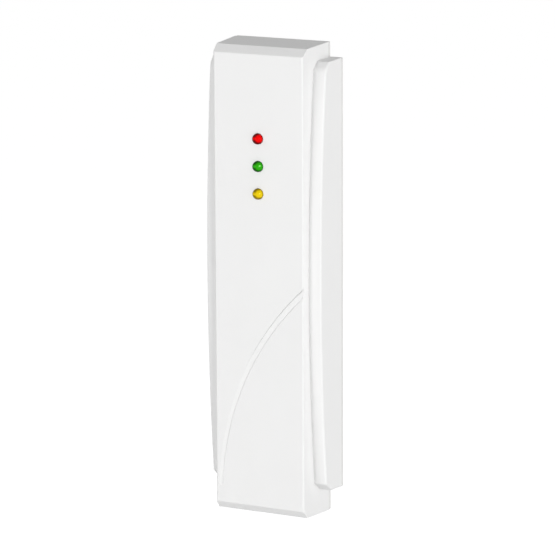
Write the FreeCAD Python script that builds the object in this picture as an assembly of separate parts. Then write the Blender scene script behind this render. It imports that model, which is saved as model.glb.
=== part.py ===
import FreeCAD, Part
import math
import os
from FreeCAD import Vector

# Slim card reader for a wall or a door frame. A white moulded cover carries everything: a centre
# column with bevelled ends, and a bowed wing down each side. A flat base is screwed to the wall,
# the cover hooks over it at the top and one screw from below holds it.
# Millimetres. +X is right, +Z is up and the front faces -Y. The wall is the plane y = 0, and a
# depth is a distance from the wall. The origin is the middle of the back, at half the height.

# Cover, outside
cover_height = 130.0
column_back_width = 28.4
column_depth = 15.0
draft_angle = 2.67
column_corner_radius = 0.5
top_bevel_depth = 2.4
top_bevel_height = 2.0
bottom_bevel_depth = 1.8
bottom_bevel_height = 2.1
bevel_blend_radius = 0.4
wings_back_width = 36.0
wing_depth = 12.3
wing_bow_radius = 557.0
wing_top_setback = 4.1
wing_bottom_setback = 7.0
wing_top_bevel_depth = 2.0
wing_top_bevel_height = 2.4
wing_bottom_bevel_depth = 3.0
wing_bottom_bevel_height = 2.6
wing_edge_radius = 0.6
wing_top_blend_radius = 2.5
wing_bottom_blend_radius = 0.7
wing_bottom_end_radius = 1.6
crease_width = 0.9
crease_depth = 0.25

# Curved line moulded into the front: a channel, with a thin line along its upper edge
sweep_radius = 82.3
sweep_inner_radius = 79.7
sweep_left_margin = 0.75
sweep_right_margin = 0.1
sweep_narrow_width = 1.1
sweep_centre_rise = 4.3
sweep_end_rise = 7.4
sweep_floor_angle = 14.0
sweep_wall_angle = 40.0
sweep_wall_shift = 0.2
sweep_line_width = 0.45
sweep_line_rise = 62.0
sweep_line_angle = 1.0

# Cover, inside
cover_wall = 2.0
front_wall = 2.0
board_boss_diameter = 5.0
board_boss_inset = 3.4
board_screw_pilot_diameter = 1.8
board_screw_pilot_floor = 0.8
hook_pocket_depth = 1.2
screw_pad_diameter = 8.0
screw_pad_thickness = 1.6
screw_recess_depth = 2.0

# Rear base
base_edge_thickness = 1.1
base_floor_thickness = 2.0
base_edge_inset = 0.05
base_corner_radius = 0.3
base_edge_chamfer = 0.2
cover_fit_clearance = 0.3
rail_height = 3.0
rail_thickness = 1.2
rail_end_gap = 4.0
hook_width = 5.0
hook_spacing = 14.0
hook_thickness = 1.6
hook_reach = 3.6
hook_lip_height = 0.9
hook_lip_thickness = 1.5
screw_post_width = 8.0
screw_post_length = 7.0
screw_post_wall = 2.4
wall_hole_diameter = 4.2
wall_hole_spacing = 92.0
wall_hole_rim_diameter = 9.0
wall_hole_rim_height = 0.8

# Screw that holds the cover
cover_screw_diameter = 3.0
cover_screw_length = 8.0
cover_screw_head_diameter = 5.4
cover_screw_head_height = 1.8
cover_screw_depth = 6.6
screw_hole_clearance = 0.3
screw_thread_clearance = 0.05
drive_slot_width = 0.7
drive_slot_depth = 0.9

# Rubber grommet in the cable inlet
inlet_rise = 58.0
inlet_diameter = 9.0
grommet_bore_diameter = 6.0
grommet_flange_diameter = 12.4
grommet_flange_thickness = 0.9
grommet_clearance = 0.1

# Circuit board
board_thickness = 1.2
board_side_gap = 0.6
board_top_gap = 4.5
board_bottom_gap = 2.5
board_to_front = 5.0
board_corner_radius = 1.5
board_hole_clearance = 0.3
board_screw_head_diameter = 3.8
board_screw_head_height = 1.3
lead_diameter = 0.5
lead_hole_clearance = 0.3
lead_tail = 1.0

# Indicator lamps
led_diameter = 3.0
led_length = 5.3
led_protrusion = 1.7
led_pitch = 7.5
led_top_setback = 25.3
led_flange_extra = 0.8
led_flange_thickness = 1.0
led_lead_pitch = 1.6
led_hole_clearance = 0.1
led_spacer_margin = 0.5

# Antenna coil on its former
coil_to_leds = 3.5
coil_to_bosses = 2.0
former_side_gap = 1.2
former_wall = 1.0
former_height = 4.0
former_flange_thickness = 0.7
winding_depth = 1.8
winding_inset = 0.2
coil_wire_diameter = 0.4
coil_wire_spacing = 5.0
coil_wire_offset = 0.6

# Parts on the board
buzzer_diameter = 9.0
buzzer_height = 4.2
buzzer_hole_diameter = 1.6
buzzer_hole_depth = 0.8
buzzer_pin_spacing = 5.0
buzzer_below_board_top = 7.5
controller_side = 7.0
controller_height = 1.4
controller_leg_count = 8
controller_leg_pitch = 0.8
controller_to_leds = 1.5
radio_chip_length = 8.7
radio_chip_width = 3.9
radio_chip_height = 1.5
radio_leg_count = 7
radio_leg_pitch = 1.27
radio_to_leds = 1.5
chip_standoff = 0.1
leg_thickness = 0.18
leg_reach = 1.05
leg_width = 0.35
crystal_length = 11.0
crystal_width = 4.4
crystal_height = 3.4
crystal_base_height = 0.6
crystal_base_margin = 0.4
side_part_offset = 7.0
capacitor_diameter = 5.0
capacitor_height = 4.4
capacitor_base_side = 5.3
capacitor_base_height = 0.8
regulator_length = 4.5
regulator_width = 2.5
regulator_height = 1.5
regulator_leg_pitch = 1.5
diode_length = 4.3
diode_width = 2.6
diode_height = 2.1
diode_strap_width = 1.5
power_row_rise = 8.5
transistor_length = 2.9
transistor_width = 1.3
transistor_height = 1.0
transistor_spacing = 6.0
transistor_leg_pitch = 1.9
transistors_to_controller = 1.2
header_pin_count = 8
header_pitch = 1.5
header_end_wall = 1.5
header_length = 6.0
header_wall = 0.6
header_to_base = 0.7
header_rise = 20.0
header_pin_width = 0.5
header_pin_stub = 1.0
header_back_wall = 1.0
header_contact_length = 3.6
header_key_width = 4.6
sensor_length = 3.6
sensor_width = 2.9
sensor_height = 1.7
sensor_window_diameter = 1.1
sensor_window_depth = 0.4
sensor_window_spacing = 1.8
sensor_below_board_top = 6.0
chip_part_length = 2.0
chip_part_width = 1.25
resistor_height = 0.55
chip_capacitor_height = 0.9
chip_row_pitch = 3.2
chip_row_count = 6
chip_row_offset = 8.4

# Places that follow from the sizes above
slope = math.tan(math.radians(draft_angle))
half_height = cover_height / 2
front_inside = column_depth - front_wall
board_front = front_inside - board_to_front
board_back = board_front - board_thickness
wing_top = half_height - wing_top_setback
wing_bottom = -half_height + wing_bottom_setback
wing_middle = (wing_top + wing_bottom) / 2


def column_half(depth):
    return column_back_width / 2 - slope * depth


def wing_half(depth):
    return wings_back_width / 2 - slope * depth


def inside_end(depth):
    # inner face of the cover's end wall, as a height above the middle
    return half_height - slope * depth - cover_wall


board_half_width = column_half(board_front) - cover_wall - board_side_gap
board_top = inside_end(board_front) - board_top_gap
post_top = -inside_end(base_floor_thickness) + screw_pad_thickness + cover_fit_clearance + screw_post_length
board_bottom = post_top + board_bottom_gap
boss_x = board_half_width - board_boss_inset
boss_top_z = board_top - board_boss_inset
boss_bottom_z = board_bottom + board_boss_inset
led_heights = [half_height - led_top_setback - led_pitch * step for step in range(3)]
led_base = column_depth + led_protrusion - led_length
inlet_z = -half_height + inlet_rise


# Basic shapes, placed by x, depth and z
def at(x, depth, z):
    return Vector(x, -depth, z)


def rounded_face(corners, radii, place):
    # flat face with straight sides and a tangent arc at each corner that has a radius
    edges = []
    count = len(corners)
    starts = []
    ends = []
    for index, corner in enumerate(corners):
        here = Vector(corner[0], corner[1], 0)
        before = Vector(*corners[index - 1], 0) - here
        after = Vector(*corners[(index + 1) % count], 0) - here
        turn = before.getAngle(after)
        setback = radii[index] / math.tan(turn / 2)
        before.normalize()
        after.normalize()
        first = here + before * setback
        last = here + after * setback
        if radii[index] > 0:
            inward = (before + after).normalize()
            centre = here + inward * (radii[index] / math.sin(turn / 2))
            middle = centre - inward * radii[index]
            edges.append(Part.Arc(place(first), place(middle), place(last)).toShape())
        starts.append(first)
        ends.append(last)
    for index in range(count):
        edges.append(Part.makeLine(place(ends[index]), place(starts[(index + 1) % count])))
    return Part.Face(Part.Wire(Part.__sortEdges__(edges)))


def side_prism(corners, radii, left, right):
    # corners are (depth, z), carried across from left to right
    face = rounded_face(corners, radii, lambda point: at(left, point.x, point.y))
    return face.extrude(Vector(right - left, 0, 0))


def plan_prism(corners, radii, low, high):
    # corners are (x, depth), carried from low to high
    face = rounded_face(corners, radii, lambda point: at(point.x, point.y, low))
    return face.extrude(Vector(0, 0, high - low))


def front_prism(corners, radii, rear, front):
    # corners are (x, z), carried from the rear depth to the front depth
    face = rounded_face(corners, radii, lambda point: at(point.x, rear, point.y))
    return face.extrude(Vector(0, rear - front, 0))


def block(left, right, rear, front, low, high):
    return Part.makeBox(right - left, front - rear, high - low, at(left, front, low))


def plate(left, right, rear, front, low, high, radius):
    corners = [(left, low), (right, low), (right, high), (left, high)]
    return front_prism(corners, [radius] * 4, rear, front)


def disc(x, z, diameter, rear, front):
    return Part.makeCylinder(diameter / 2, front - rear, at(x, rear, z), Vector(0, -1, 0))


def centred_box(length, width, low, high):
    # box about the local Z axis, used for small parts before they are placed
    return Part.makeBox(length, width, high - low, Vector(-length / 2, -width / 2, low))


def line_crossing(first, second):
    # crossing of two lines, each given by a point and a direction
    (point, run), (other, way) = first, second
    cross = run.x * way.y - run.y * way.x
    gap = other - point
    return point + run * ((gap.x * way.y - gap.y * way.x) / cross)


# Cover
def column_solid(inset, front_inset):
    # raised centre column, or its inside when the faces are moved in by the insets
    front = column_depth - front_inset
    rear = base_edge_thickness if inset == 0 else 0.0
    blend = bevel_blend_radius if inset == 0 else 0.0
    corner = column_corner_radius if inset == 0 else 0.0
    sides = []
    for sign, depth, height in (
        (1, top_bevel_depth, top_bevel_height),
        (-1, bottom_bevel_depth, bottom_bevel_height),
    ):
        edge_depth = column_depth - depth
        edge_z = half_height - slope * edge_depth
        end_face = (Vector(rear, half_height - slope * rear - inset), Vector(1, -slope))
        bevel_run = Vector(depth, -height)
        bevel_in = Vector(-height, -depth).normalize() * inset
        bevel = (Vector(edge_depth, edge_z) + bevel_in, bevel_run)
        face = (Vector(front, 0), Vector(0, 1))
        outer = line_crossing(end_face, bevel)
        inner = line_crossing(bevel, face)
        sides.append([(rear, sign * end_face[0].y), (outer.x, sign * outer.y), (inner.x, sign * inner.y)])
    top, bottom = sides
    corners = top + bottom[::-1]
    side_view = side_prism(corners, [0, blend, blend, blend, blend, 0], -wings_back_width, wings_back_width)
    rear_half = column_half(rear) - inset
    front_half = column_half(front) - inset
    plan = [(-rear_half, rear), (rear_half, rear), (front_half, front), (-front_half, front)]
    plan_view = plan_prism(plan, [0, 0, corner, corner], -cover_height, cover_height)
    return side_view.common(plan_view)


def wing_outline(inset):
    # side view of a wing: drafted ends, bevels and a long shallow bow at the front
    centre_depth = wing_depth - wing_bow_radius
    radius = wing_bow_radius - inset
    rear = base_edge_thickness if inset == 0 else 0.0
    points = []
    for sign, end, depth, height in (
        (1, wing_top, wing_top_bevel_depth, wing_top_bevel_height),
        (-1, -wing_bottom, wing_bottom_bevel_depth, wing_bottom_bevel_height),
    ):
        middle = sign * wing_middle
        bow_z = end - height
        bow_depth = centre_depth + math.sqrt(wing_bow_radius ** 2 - (bow_z - middle) ** 2)
        edge_depth = bow_depth - depth
        edge_z = end - slope * edge_depth
        end_face = (Vector(rear, end - slope * rear - inset), Vector(1, -slope))
        run = Vector(depth, bow_z - edge_z)
        move_in = Vector(run.y, -run.x).normalize() * inset
        bevel = (Vector(edge_depth, edge_z) + move_in, run)
        outer = line_crossing(end_face, bevel)
        start = bevel[0] - Vector(centre_depth, middle)
        run.normalize()
        along = start.dot(run)
        reach = -along + math.sqrt(along ** 2 - start.dot(start) + radius ** 2)
        inner = bevel[0] + run * reach
        points.append([(rear, sign * end_face[0].y), (outer.x, sign * outer.y), (inner.x, sign * inner.y)])
    top, bottom = points
    return top, bottom, (centre_depth + radius, wing_middle)


def runs_across(edge):
    box = edge.BoundBox
    return box.YLength < 0.01 and box.ZLength < 0.01


def wing_side_face(x, top, bottom, crown):
    # flat side view of a wing at one place across
    route = [at(x, *point) for point in top]
    back_route = [at(x, *point) for point in bottom]
    edges = [
        Part.makeLine(route[0], route[1]),
        Part.makeLine(route[1], route[2]),
        Part.Arc(route[2], at(x, *crown), back_route[2]).toShape(),
        Part.makeLine(back_route[2], back_route[1]),
        Part.makeLine(back_route[1], back_route[0]),
        Part.makeLine(back_route[0], route[0]),
    ]
    return Part.Face(Part.Wire(edges))


def wing_solid(inset):
    side_face = wing_side_face(-wings_back_width, *wing_outline(inset))
    side_view = side_face.extrude(Vector(2 * wings_back_width, 0, 0))
    rear = base_edge_thickness if inset == 0 else 0.0
    rear_half = wing_half(rear) - inset
    front_half = wing_half(column_depth) - inset
    plan = [(-rear_half, rear), (rear_half, rear), (front_half, column_depth), (-front_half, column_depth)]
    return side_view.common(plan_prism(plan, [0] * 4, -cover_height, cover_height))


def soften_wings(wings):
    # broad radius where the top bevel meets the bow, and smaller ones along the other front edges
    top, bottom, crown = wing_outline(0)
    blends = (
        (wing_top_blend_radius, top[2]),
        (wing_bottom_blend_radius, bottom[2]),
        (wing_bottom_end_radius, bottom[1]),
    )
    for radius, corner in blends:
        place = at(0, *corner)
        across = [edge for edge in wings.Edges if runs_across(edge)]
        there = [edge for edge in across if (edge.BoundBox.Center - place).Length < 0.05]
        wings = wings.makeFillet(radius, there)
    rim = []
    for edge in wings.Edges:
        behind = edge.BoundBox.YMax > -(base_edge_thickness + 0.01)
        blended = runs_across(edge) and edge.BoundBox.ZMax < top[1][1] - 0.01
        if not behind and not blended:
            rim.append(edge)
    return wings.makeFillet(wing_edge_radius, rim)


def crease_cut():
    # shallow valley beside the column, along the front and the bevels of each wing
    top, bottom, crown = wing_outline(0)
    ends = []
    for rear, outer, inner in (top, bottom):
        beyond = (2 * outer[0] - inner[0], 2 * outer[1] - inner[1])
        ends.append([(0, beyond[1]), beyond, inner])
    valleys = []
    for sign in (-1, 1):
        far = sign * (column_half(wing_depth) + 2 * crease_width)
        kept = wing_side_face(far, *ends, crown)
        kept.translate(Vector(0, -crease_depth, 0))
        kept = kept.extrude(Vector(-sign * 3 * crease_width, 3 * crease_depth, 0))
        rear_edge = sign * column_half(0)
        front_edge = sign * column_half(column_depth)
        plan = [(rear_edge, 0), (far, 0), (far, column_depth), (front_edge, column_depth)]
        strip = plan_prism(plan, [0] * 4, -cover_height, cover_height)
        valleys.append(wing_solid(0).common(strip).cut(kept))
    return valleys[0].fuse(valleys[1])


def front_cone(x, z, radius, angle):
    # cone about a line through the front. It has that radius at the front face and opens forwards,
    # or backwards where the angle is negative
    lean = front_wall / math.tan(math.radians(angle))
    rear = at(x, column_depth - front_wall, z)
    return Part.makeCone(radius - lean, radius + lean, 2 * front_wall, rear, Vector(0, -1, 0))


def sweep_cut():
    # shallow curved channel whose floor leans down to a wall along the inner arc. Its upper part
    # has a second, thinner line along the outer arc, which fades out towards the lower left
    left = -column_half(column_depth) + sweep_left_margin
    right = column_half(column_depth) - sweep_right_margin
    centre_z = -half_height + sweep_centre_rise
    outer_x = left + sweep_radius
    inner_x = left + sweep_narrow_width + sweep_inner_radius
    floor = front_cone(outer_x, centre_z, sweep_radius, sweep_floor_angle)
    inner_edge = sweep_inner_radius - sweep_wall_shift
    channel = floor.cut(front_cone(inner_x, centre_z, inner_edge, -sweep_wall_angle))
    rear = column_depth - front_wall / 3
    front = column_depth + front_wall / 3
    line_edge = sweep_radius + sweep_line_width / 2
    line = disc(outer_x, centre_z, 2 * line_edge, rear, front)
    line_floor = front_cone(outer_x, centre_z, line_edge - sweep_line_width, -sweep_wall_angle)
    line_floor.rotate(at(0, column_depth, -half_height + sweep_line_rise), Vector(1, 0, 0), -sweep_line_angle)
    low = -half_height + sweep_end_rise
    ends = block(left, right, rear, front, low, centre_z + sweep_radius)
    return channel.fuse(line.cut(line_floor)).common(ends)


def board_boss_places():
    return [(sign * boss_x, z) for z in (boss_top_z, boss_bottom_z) for sign in (-1, 1)]


def hook_lefts():
    return [sign * hook_spacing / 2 - hook_width / 2 for sign in (-1, 1)]


def hook_lip_rear():
    return base_floor_thickness + hook_reach - hook_lip_thickness


def cover_screw_seat():
    # height at which the head of the cover screw bears on the cover
    return -half_height + slope * cover_screw_depth + screw_recess_depth


def front_cover():
    body = column_solid(0, 0).fuse(soften_wings(wing_solid(0))).removeSplitter()
    body = body.cut(column_solid(cover_wall, front_wall))
    body = body.cut(wing_solid(cover_wall))
    body = body.cut(crease_cut())
    body = body.cut(sweep_cut())
    for z in led_heights:
        body = body.cut(disc(0, z, led_diameter + led_hole_clearance, board_front, column_depth + 1))
    for x, z in board_boss_places():
        body = body.fuse(disc(x, z, board_boss_diameter, board_front, front_inside + front_wall / 2))
        pilot_end = front_inside - board_screw_pilot_floor
        body = body.cut(disc(x, z, board_screw_pilot_diameter, board_front, pilot_end))
    pocket_rear = hook_lip_rear() - cover_fit_clearance
    pocket_front = base_floor_thickness + hook_reach + cover_fit_clearance
    pocket_low = inside_end(pocket_front) - cover_wall / 2
    pocket_top = inside_end(pocket_front) + hook_pocket_depth
    for hook_left in hook_lefts():
        left = hook_left - cover_fit_clearance
        right = hook_left + hook_width + cover_fit_clearance
        body = body.cut(block(left, right, pocket_rear, pocket_front, pocket_low, pocket_top))
    inside_floor = -inside_end(cover_screw_depth)
    pad_base = Vector(0, -cover_screw_depth, inside_floor - cover_wall / 2)
    pad = Part.makeCylinder(screw_pad_diameter / 2, cover_wall / 2 + screw_pad_thickness, pad_base)
    body = body.fuse(pad)
    head_hole = cover_screw_head_diameter + 2 * screw_hole_clearance
    below = Vector(0, -cover_screw_depth, -half_height - 1)
    seat = cover_screw_seat()
    body = body.cut(Part.makeCylinder(head_hole / 2, seat - below.z, below))
    through = cover_screw_diameter + screw_hole_clearance
    body = body.cut(Part.makeCylinder(through / 2, cover_height / 4, below))
    return body.removeSplitter()


# Rear base
def base_outline(inset, front):
    half = column_half(0) - inset
    end = half_height - inset
    centre = plate(-half, half, 0, front, -end, end, base_corner_radius)
    side = wing_half(0) - inset
    low = wing_bottom + inset
    high = wing_top - inset
    return centre.fuse(plate(-side, side, 0, front, low, high, base_corner_radius))


def base_edge_plate():
    # thin plate behind the rim of the cover, with a fine chamfer that shows as a line
    body = base_outline(base_edge_inset, base_edge_thickness).removeSplitter()
    rim = [edge for edge in body.Edges if edge.BoundBox.YMax < -(base_edge_thickness - 0.01)]
    return body.makeChamfer(base_edge_chamfer, rim)


def rear_base():
    floor_inset = cover_wall + slope * base_floor_thickness + cover_fit_clearance
    body = base_edge_plate().fuse(base_outline(floor_inset, base_floor_thickness))
    top = base_floor_thickness + rail_height
    rail_outer = wing_half(top) - cover_wall - cover_fit_clearance
    for sign in (-1, 1):
        ends = sorted((sign * rail_outer, sign * (rail_outer - rail_thickness)))
        low = wing_bottom + floor_inset + rail_end_gap
        high = wing_top - floor_inset - rail_end_gap
        body = body.fuse(block(ends[0], ends[1], base_edge_thickness, top, low, high))
    hook_front = base_floor_thickness + hook_reach
    hook_top = inside_end(hook_front) - cover_fit_clearance
    hook_low = hook_top - hook_thickness
    for left in hook_lefts():
        right = left + hook_width
        stem = block(left, right, base_edge_thickness, hook_front, hook_low, hook_top)
        lip = block(left, right, hook_lip_rear(), hook_front, hook_low, hook_top + hook_lip_height)
        body = body.fuse(stem).fuse(lip)
    post_low = post_top - screw_post_length
    post_front = cover_screw_depth + cover_screw_diameter / 2 + screw_post_wall
    post_half = screw_post_width / 2
    post = block(-post_half, post_half, base_edge_thickness, post_front, post_low, post_top)
    body = body.fuse(post)
    pilot = Vector(0, -cover_screw_depth, post_low - 1)
    pilot_radius = cover_screw_diameter / 2 + screw_thread_clearance
    body = body.cut(Part.makeCylinder(pilot_radius, screw_post_length + 2, pilot))
    for sign in (-1, 1):
        z = sign * wall_hole_spacing / 2
        rim_top = base_floor_thickness + wall_hole_rim_height
        body = body.fuse(disc(0, z, wall_hole_rim_diameter, base_edge_thickness, rim_top))
        body = body.cut(disc(0, z, wall_hole_diameter, -1, rim_top + 1))
    web_rear = grommet_flange_thickness
    recess = grommet_flange_diameter + 2 * grommet_clearance
    body = body.cut(disc(0, inlet_z, recess, -1, web_rear))
    body = body.cut(disc(0, inlet_z, inlet_diameter, -1, base_floor_thickness + 1))
    return body.removeSplitter()


def cable_grommet():
    # soft ring with a flange on each side of the web of the base
    neck = inlet_diameter - 2 * grommet_clearance
    top = base_floor_thickness + grommet_flange_thickness
    body = disc(0, inlet_z, neck, grommet_clearance, top)
    body = body.fuse(disc(0, inlet_z, grommet_flange_diameter, grommet_clearance, grommet_flange_thickness))
    body = body.fuse(disc(0, inlet_z, grommet_flange_diameter, base_floor_thickness, top))
    body = body.cut(disc(0, inlet_z, grommet_bore_diameter, -1, top + 1))
    return body.removeSplitter()


def drive_cross(radius, top):
    # cross recess in a screw head that faces the local +Z direction
    first = centred_box(1.3 * radius, drive_slot_width, top - drive_slot_depth, top)
    second = first.copy()
    second.rotate(Vector(0, 0, 0), Vector(0, 0, 1), 90)
    return first.fuse(second)


def pan_screw(head_diameter, head_height, shank_diameter, length):
    # screw with its head bearing on the local plane z = 0 and its shank pointing down
    head = Part.makeCylinder(head_diameter / 2, head_height)
    rim = [edge for edge in head.Edges if edge.BoundBox.ZMin > head_height / 2]
    head = head.makeFillet(min(0.45 * head_height, head_diameter / 5), rim)
    shank = Part.makeCylinder(shank_diameter / 2, length, Vector(0, 0, -length))
    tip = [edge for edge in shank.Edges if edge.BoundBox.ZMax < -length / 2]
    shank = shank.makeChamfer(shank_diameter / 5, tip)
    return head.fuse(shank).cut(drive_cross(head_diameter / 2, head_height)).removeSplitter()


def cover_screw():
    head = (cover_screw_head_diameter, cover_screw_head_height)
    screw = pan_screw(*head, cover_screw_diameter, cover_screw_length)
    screw.rotate(Vector(0, 0, 0), Vector(1, 0, 0), 180)
    screw.translate(Vector(0, -cover_screw_depth, cover_screw_seat()))
    return screw


# Circuit board. Parts on it are drawn lying on a level plane, then set on its front or its back.
def on_front(shape, x, z):
    placed = shape.copy()
    placed.rotate(Vector(0, 0, 0), Vector(1, 0, 0), 90)
    placed.translate(at(x, board_front, z))
    return placed


def on_back(shape, x, z):
    placed = shape.copy()
    placed.rotate(Vector(0, 0, 0), Vector(1, 0, 0), 90)
    placed.rotate(Vector(0, 0, 0), Vector(0, 0, 1), 180)
    placed.translate(at(x, board_back, z))
    return placed


def led_lead_places():
    return [(sign * led_lead_pitch / 2, z) for z in led_heights for sign in (-1, 1)]


buzzer_z = board_top - buzzer_below_board_top


def buzzer_pin_places():
    return [(sign * buzzer_pin_spacing / 2, buzzer_z) for sign in (-1, 1)]


def circuit_board():
    half = board_half_width
    body = plate(-half, half, board_back, board_front, board_bottom, board_top, board_corner_radius)
    for x, z in board_boss_places():
        hole = board_screw_pilot_diameter + board_hole_clearance
        body = body.cut(disc(x, z, hole, board_back - 1, board_front + 1))
    for x, z in led_lead_places() + buzzer_pin_places():
        hole = lead_diameter + lead_hole_clearance
        body = body.cut(disc(x, z, hole, board_back - 1, board_front + 1))
    return body


def board_screws():
    shank = board_screw_pilot_diameter - 2 * screw_thread_clearance
    length = board_thickness + 0.8 * (board_to_front - board_screw_pilot_floor)
    screw = pan_screw(board_screw_head_diameter, board_screw_head_height, shank, length)
    return [on_back(screw, x, z) for x, z in board_boss_places()]


def led_body(z):
    # round lamp with a domed tip and a flange at its base
    radius = led_diameter / 2
    tip = column_depth + led_protrusion
    stem = disc(0, z, led_diameter, led_base, tip - radius)
    dome = Part.makeSphere(radius, at(0, tip - radius, z))
    flange = disc(0, z, led_diameter + led_flange_extra, led_base, led_base + led_flange_thickness)
    return stem.fuse(dome).fuse(flange).removeSplitter()


def led_leads():
    return [disc(x, z, lead_diameter, board_back - lead_tail, led_base) for x, z in led_lead_places()]


def led_spacer():
    # one moulded bar that holds the three lamps square and at their height
    half = (led_diameter + led_flange_extra) / 2 + led_spacer_margin
    body = plate(-half, half, board_front, led_base, led_heights[-1] - half, led_heights[0] + half, half / 2)
    for x, z in led_lead_places():
        body = body.cut(disc(x, z, lead_diameter + lead_hole_clearance, board_front - 1, led_base + 1))
    return body


# Antenna coil
def coil_frame():
    half = board_half_width - former_side_gap
    top = led_heights[-1] - (led_diameter + led_flange_extra) / 2 - led_spacer_margin - coil_to_leds
    bottom = boss_bottom_z + board_boss_diameter / 2 + coil_to_bosses
    return half, bottom, top


def oval(shrink, rear, front):
    # upright oval plate with round ends, moved in all round by the shrink
    half, bottom, top = coil_frame()
    half = half - shrink
    return plate(-half, half, rear, front, bottom + shrink, top - shrink, 0.999 * half)


def coil_former():
    front = board_front + former_height
    body = oval(0, board_front, front)
    channel = oval(-1, board_front + former_flange_thickness, front - former_flange_thickness)
    channel = channel.cut(oval(winding_depth, board_front, front))
    body = body.cut(channel)
    return body.cut(oval(winding_depth + former_wall, board_front - 1, front + 1)).removeSplitter()


def antenna_coil():
    rear = board_front + former_flange_thickness
    front = board_front + former_height - former_flange_thickness
    return oval(winding_inset, rear, front).cut(oval(winding_depth, rear - 1, front + 1))


def coil_wires():
    # the two ends of the winding, led out over the edge of the former and down to the board
    half, bottom, top = coil_frame()
    middle = board_front + former_height / 2
    radius = coil_wire_diameter / 2
    outside = bottom - coil_wire_offset
    wires = []
    for sign in (-1, 1):
        x = sign * coil_wire_spacing / 2
        arc_half = half - winding_inset
        drop = arc_half - math.sqrt(arc_half ** 2 - (abs(x) + radius) ** 2)
        contact = bottom + winding_inset + drop
        across = Part.makeCylinder(radius, contact - outside, at(x, middle, outside))
        winding = antenna_coil()
        down = disc(x, outside, coil_wire_diameter, board_front, middle)
        bend = Part.makeSphere(radius, at(x, middle, outside))
        wires.append(across.cut(winding).fuse(down).fuse(bend).removeSplitter())
    return wires


# Parts with legs
def gull_leg(width, reach, shoulder):
    # flat metal leg that leaves the body, drops and ends in a foot on the board
    knee = 0.35 * reach
    profile = [
        (0, shoulder),
        (knee, shoulder),
        (knee, leg_thickness),
        (reach, leg_thickness),
        (reach, 0),
        (knee - leg_thickness, 0),
        (knee - leg_thickness, shoulder - leg_thickness),
        (0, shoulder - leg_thickness),
    ]
    points = [Vector(x, -width / 2, z) for x, z in profile]
    return Part.Face(Part.makePolygon(points + points[:1])).extrude(Vector(0, width, 0))


def leg_row(count, pitch, start, shoulder, turn, width=leg_width, reach=leg_reach):
    # row of legs along one side of a body, whose face is at the start distance from its middle
    legs = []
    for index in range(count):
        leg = gull_leg(width, reach, shoulder)
        leg.translate(Vector(start, (index - (count - 1) / 2) * pitch, 0))
        leg.rotate(Vector(0, 0, 0), Vector(0, 0, 1), turn)
        legs.append(leg)
    return legs


def chip_block(length, width, height):
    # moulded package with a bevelled top edge, standing just clear of the board
    body = centred_box(length, width, chip_standoff, height)
    rim = [edge for edge in body.Edges if edge.BoundBox.ZMin > height - 0.01]
    return body.makeChamfer(min(0.2, height / 5), rim)


# The lamp leads come through the board, so the chips sit above and below them
controller_reach = controller_side / 2 + leg_reach
controller_z = led_heights[-1] - controller_to_leds - controller_reach
radio_z = led_heights[0] + radio_to_leds + radio_chip_width / 2 + leg_reach
transistor_z = controller_z - controller_reach - transistors_to_controller - transistor_width / 2 - leg_reach


def controller_chip():
    return on_back(chip_block(controller_side, controller_side, controller_height), 0, controller_z)


def controller_legs():
    legs = []
    row = (controller_leg_count, controller_leg_pitch, controller_side / 2, controller_height / 2)
    for turn in (0, 90, 180, 270):
        legs += leg_row(*row, turn)
    return [on_back(leg, 0, controller_z) for leg in legs]


def radio_chip():
    return on_back(chip_block(radio_chip_length, radio_chip_width, radio_chip_height), 0, radio_z)


def radio_chip_legs():
    legs = []
    for turn in (90, 270):
        legs += leg_row(radio_leg_count, radio_leg_pitch, radio_chip_width / 2, radio_chip_height / 2, turn)
    return [on_back(leg, 0, radio_z) for leg in legs]


def crystal_base():
    length = crystal_length + 2 * crystal_base_margin
    width = crystal_width + 2 * crystal_base_margin
    return on_front(centred_box(width, length, 0, crystal_base_height), side_part_offset, led_heights[1])


def crystal_can():
    # drawn metal can with round ends
    body = centred_box(crystal_width, crystal_length, crystal_base_height, crystal_height)
    uprights = [edge for edge in body.Edges if edge.BoundBox.ZLength > 0.01]
    body = body.makeFillet(0.45 * crystal_width, uprights)
    rim = [edge for edge in body.Edges if edge.BoundBox.ZMin > crystal_height - 0.01]
    return on_front(body.makeFillet(0.4, rim), side_part_offset, led_heights[1])


def capacitor_base():
    body = centred_box(capacitor_base_side, capacitor_base_side, 0, capacitor_base_height)
    uprights = [edge for edge in body.Edges if edge.BoundBox.ZLength > 0.01]
    marked = [edge for edge in uprights if edge.BoundBox.XMin > 0]
    return on_front(body.makeChamfer(capacitor_base_side / 6, marked), -side_part_offset, led_heights[1])


def capacitor_can():
    low = capacitor_base_height
    body = Part.makeCylinder(capacitor_diameter / 2, capacitor_height - low, Vector(0, 0, low))
    rim = [edge for edge in body.Edges if edge.BoundBox.ZMin > capacitor_height - 0.01]
    return on_front(body.makeFillet(0.4, rim), -side_part_offset, led_heights[1])


def buzzer():
    # round sounder with a small sound hole in its face
    body = Part.makeCylinder(buzzer_diameter / 2, buzzer_height)
    rim = [edge for edge in body.Edges if edge.BoundBox.ZMin > buzzer_height - 0.01]
    body = body.makeFillet(0.5, rim)
    hole_floor = Vector(0, 0, buzzer_height - buzzer_hole_depth)
    hole = Part.makeCylinder(buzzer_hole_diameter / 2, buzzer_hole_depth, hole_floor)
    return on_front(body.cut(hole), 0, buzzer_z)


def buzzer_pins():
    return [disc(x, z, lead_diameter, board_back - lead_tail, board_front) for x, z in buzzer_pin_places()]


power_z = board_bottom + power_row_rise


def regulator():
    body = chip_block(regulator_length, regulator_width, regulator_height)
    return on_back(body, -side_part_offset, power_z)


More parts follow.
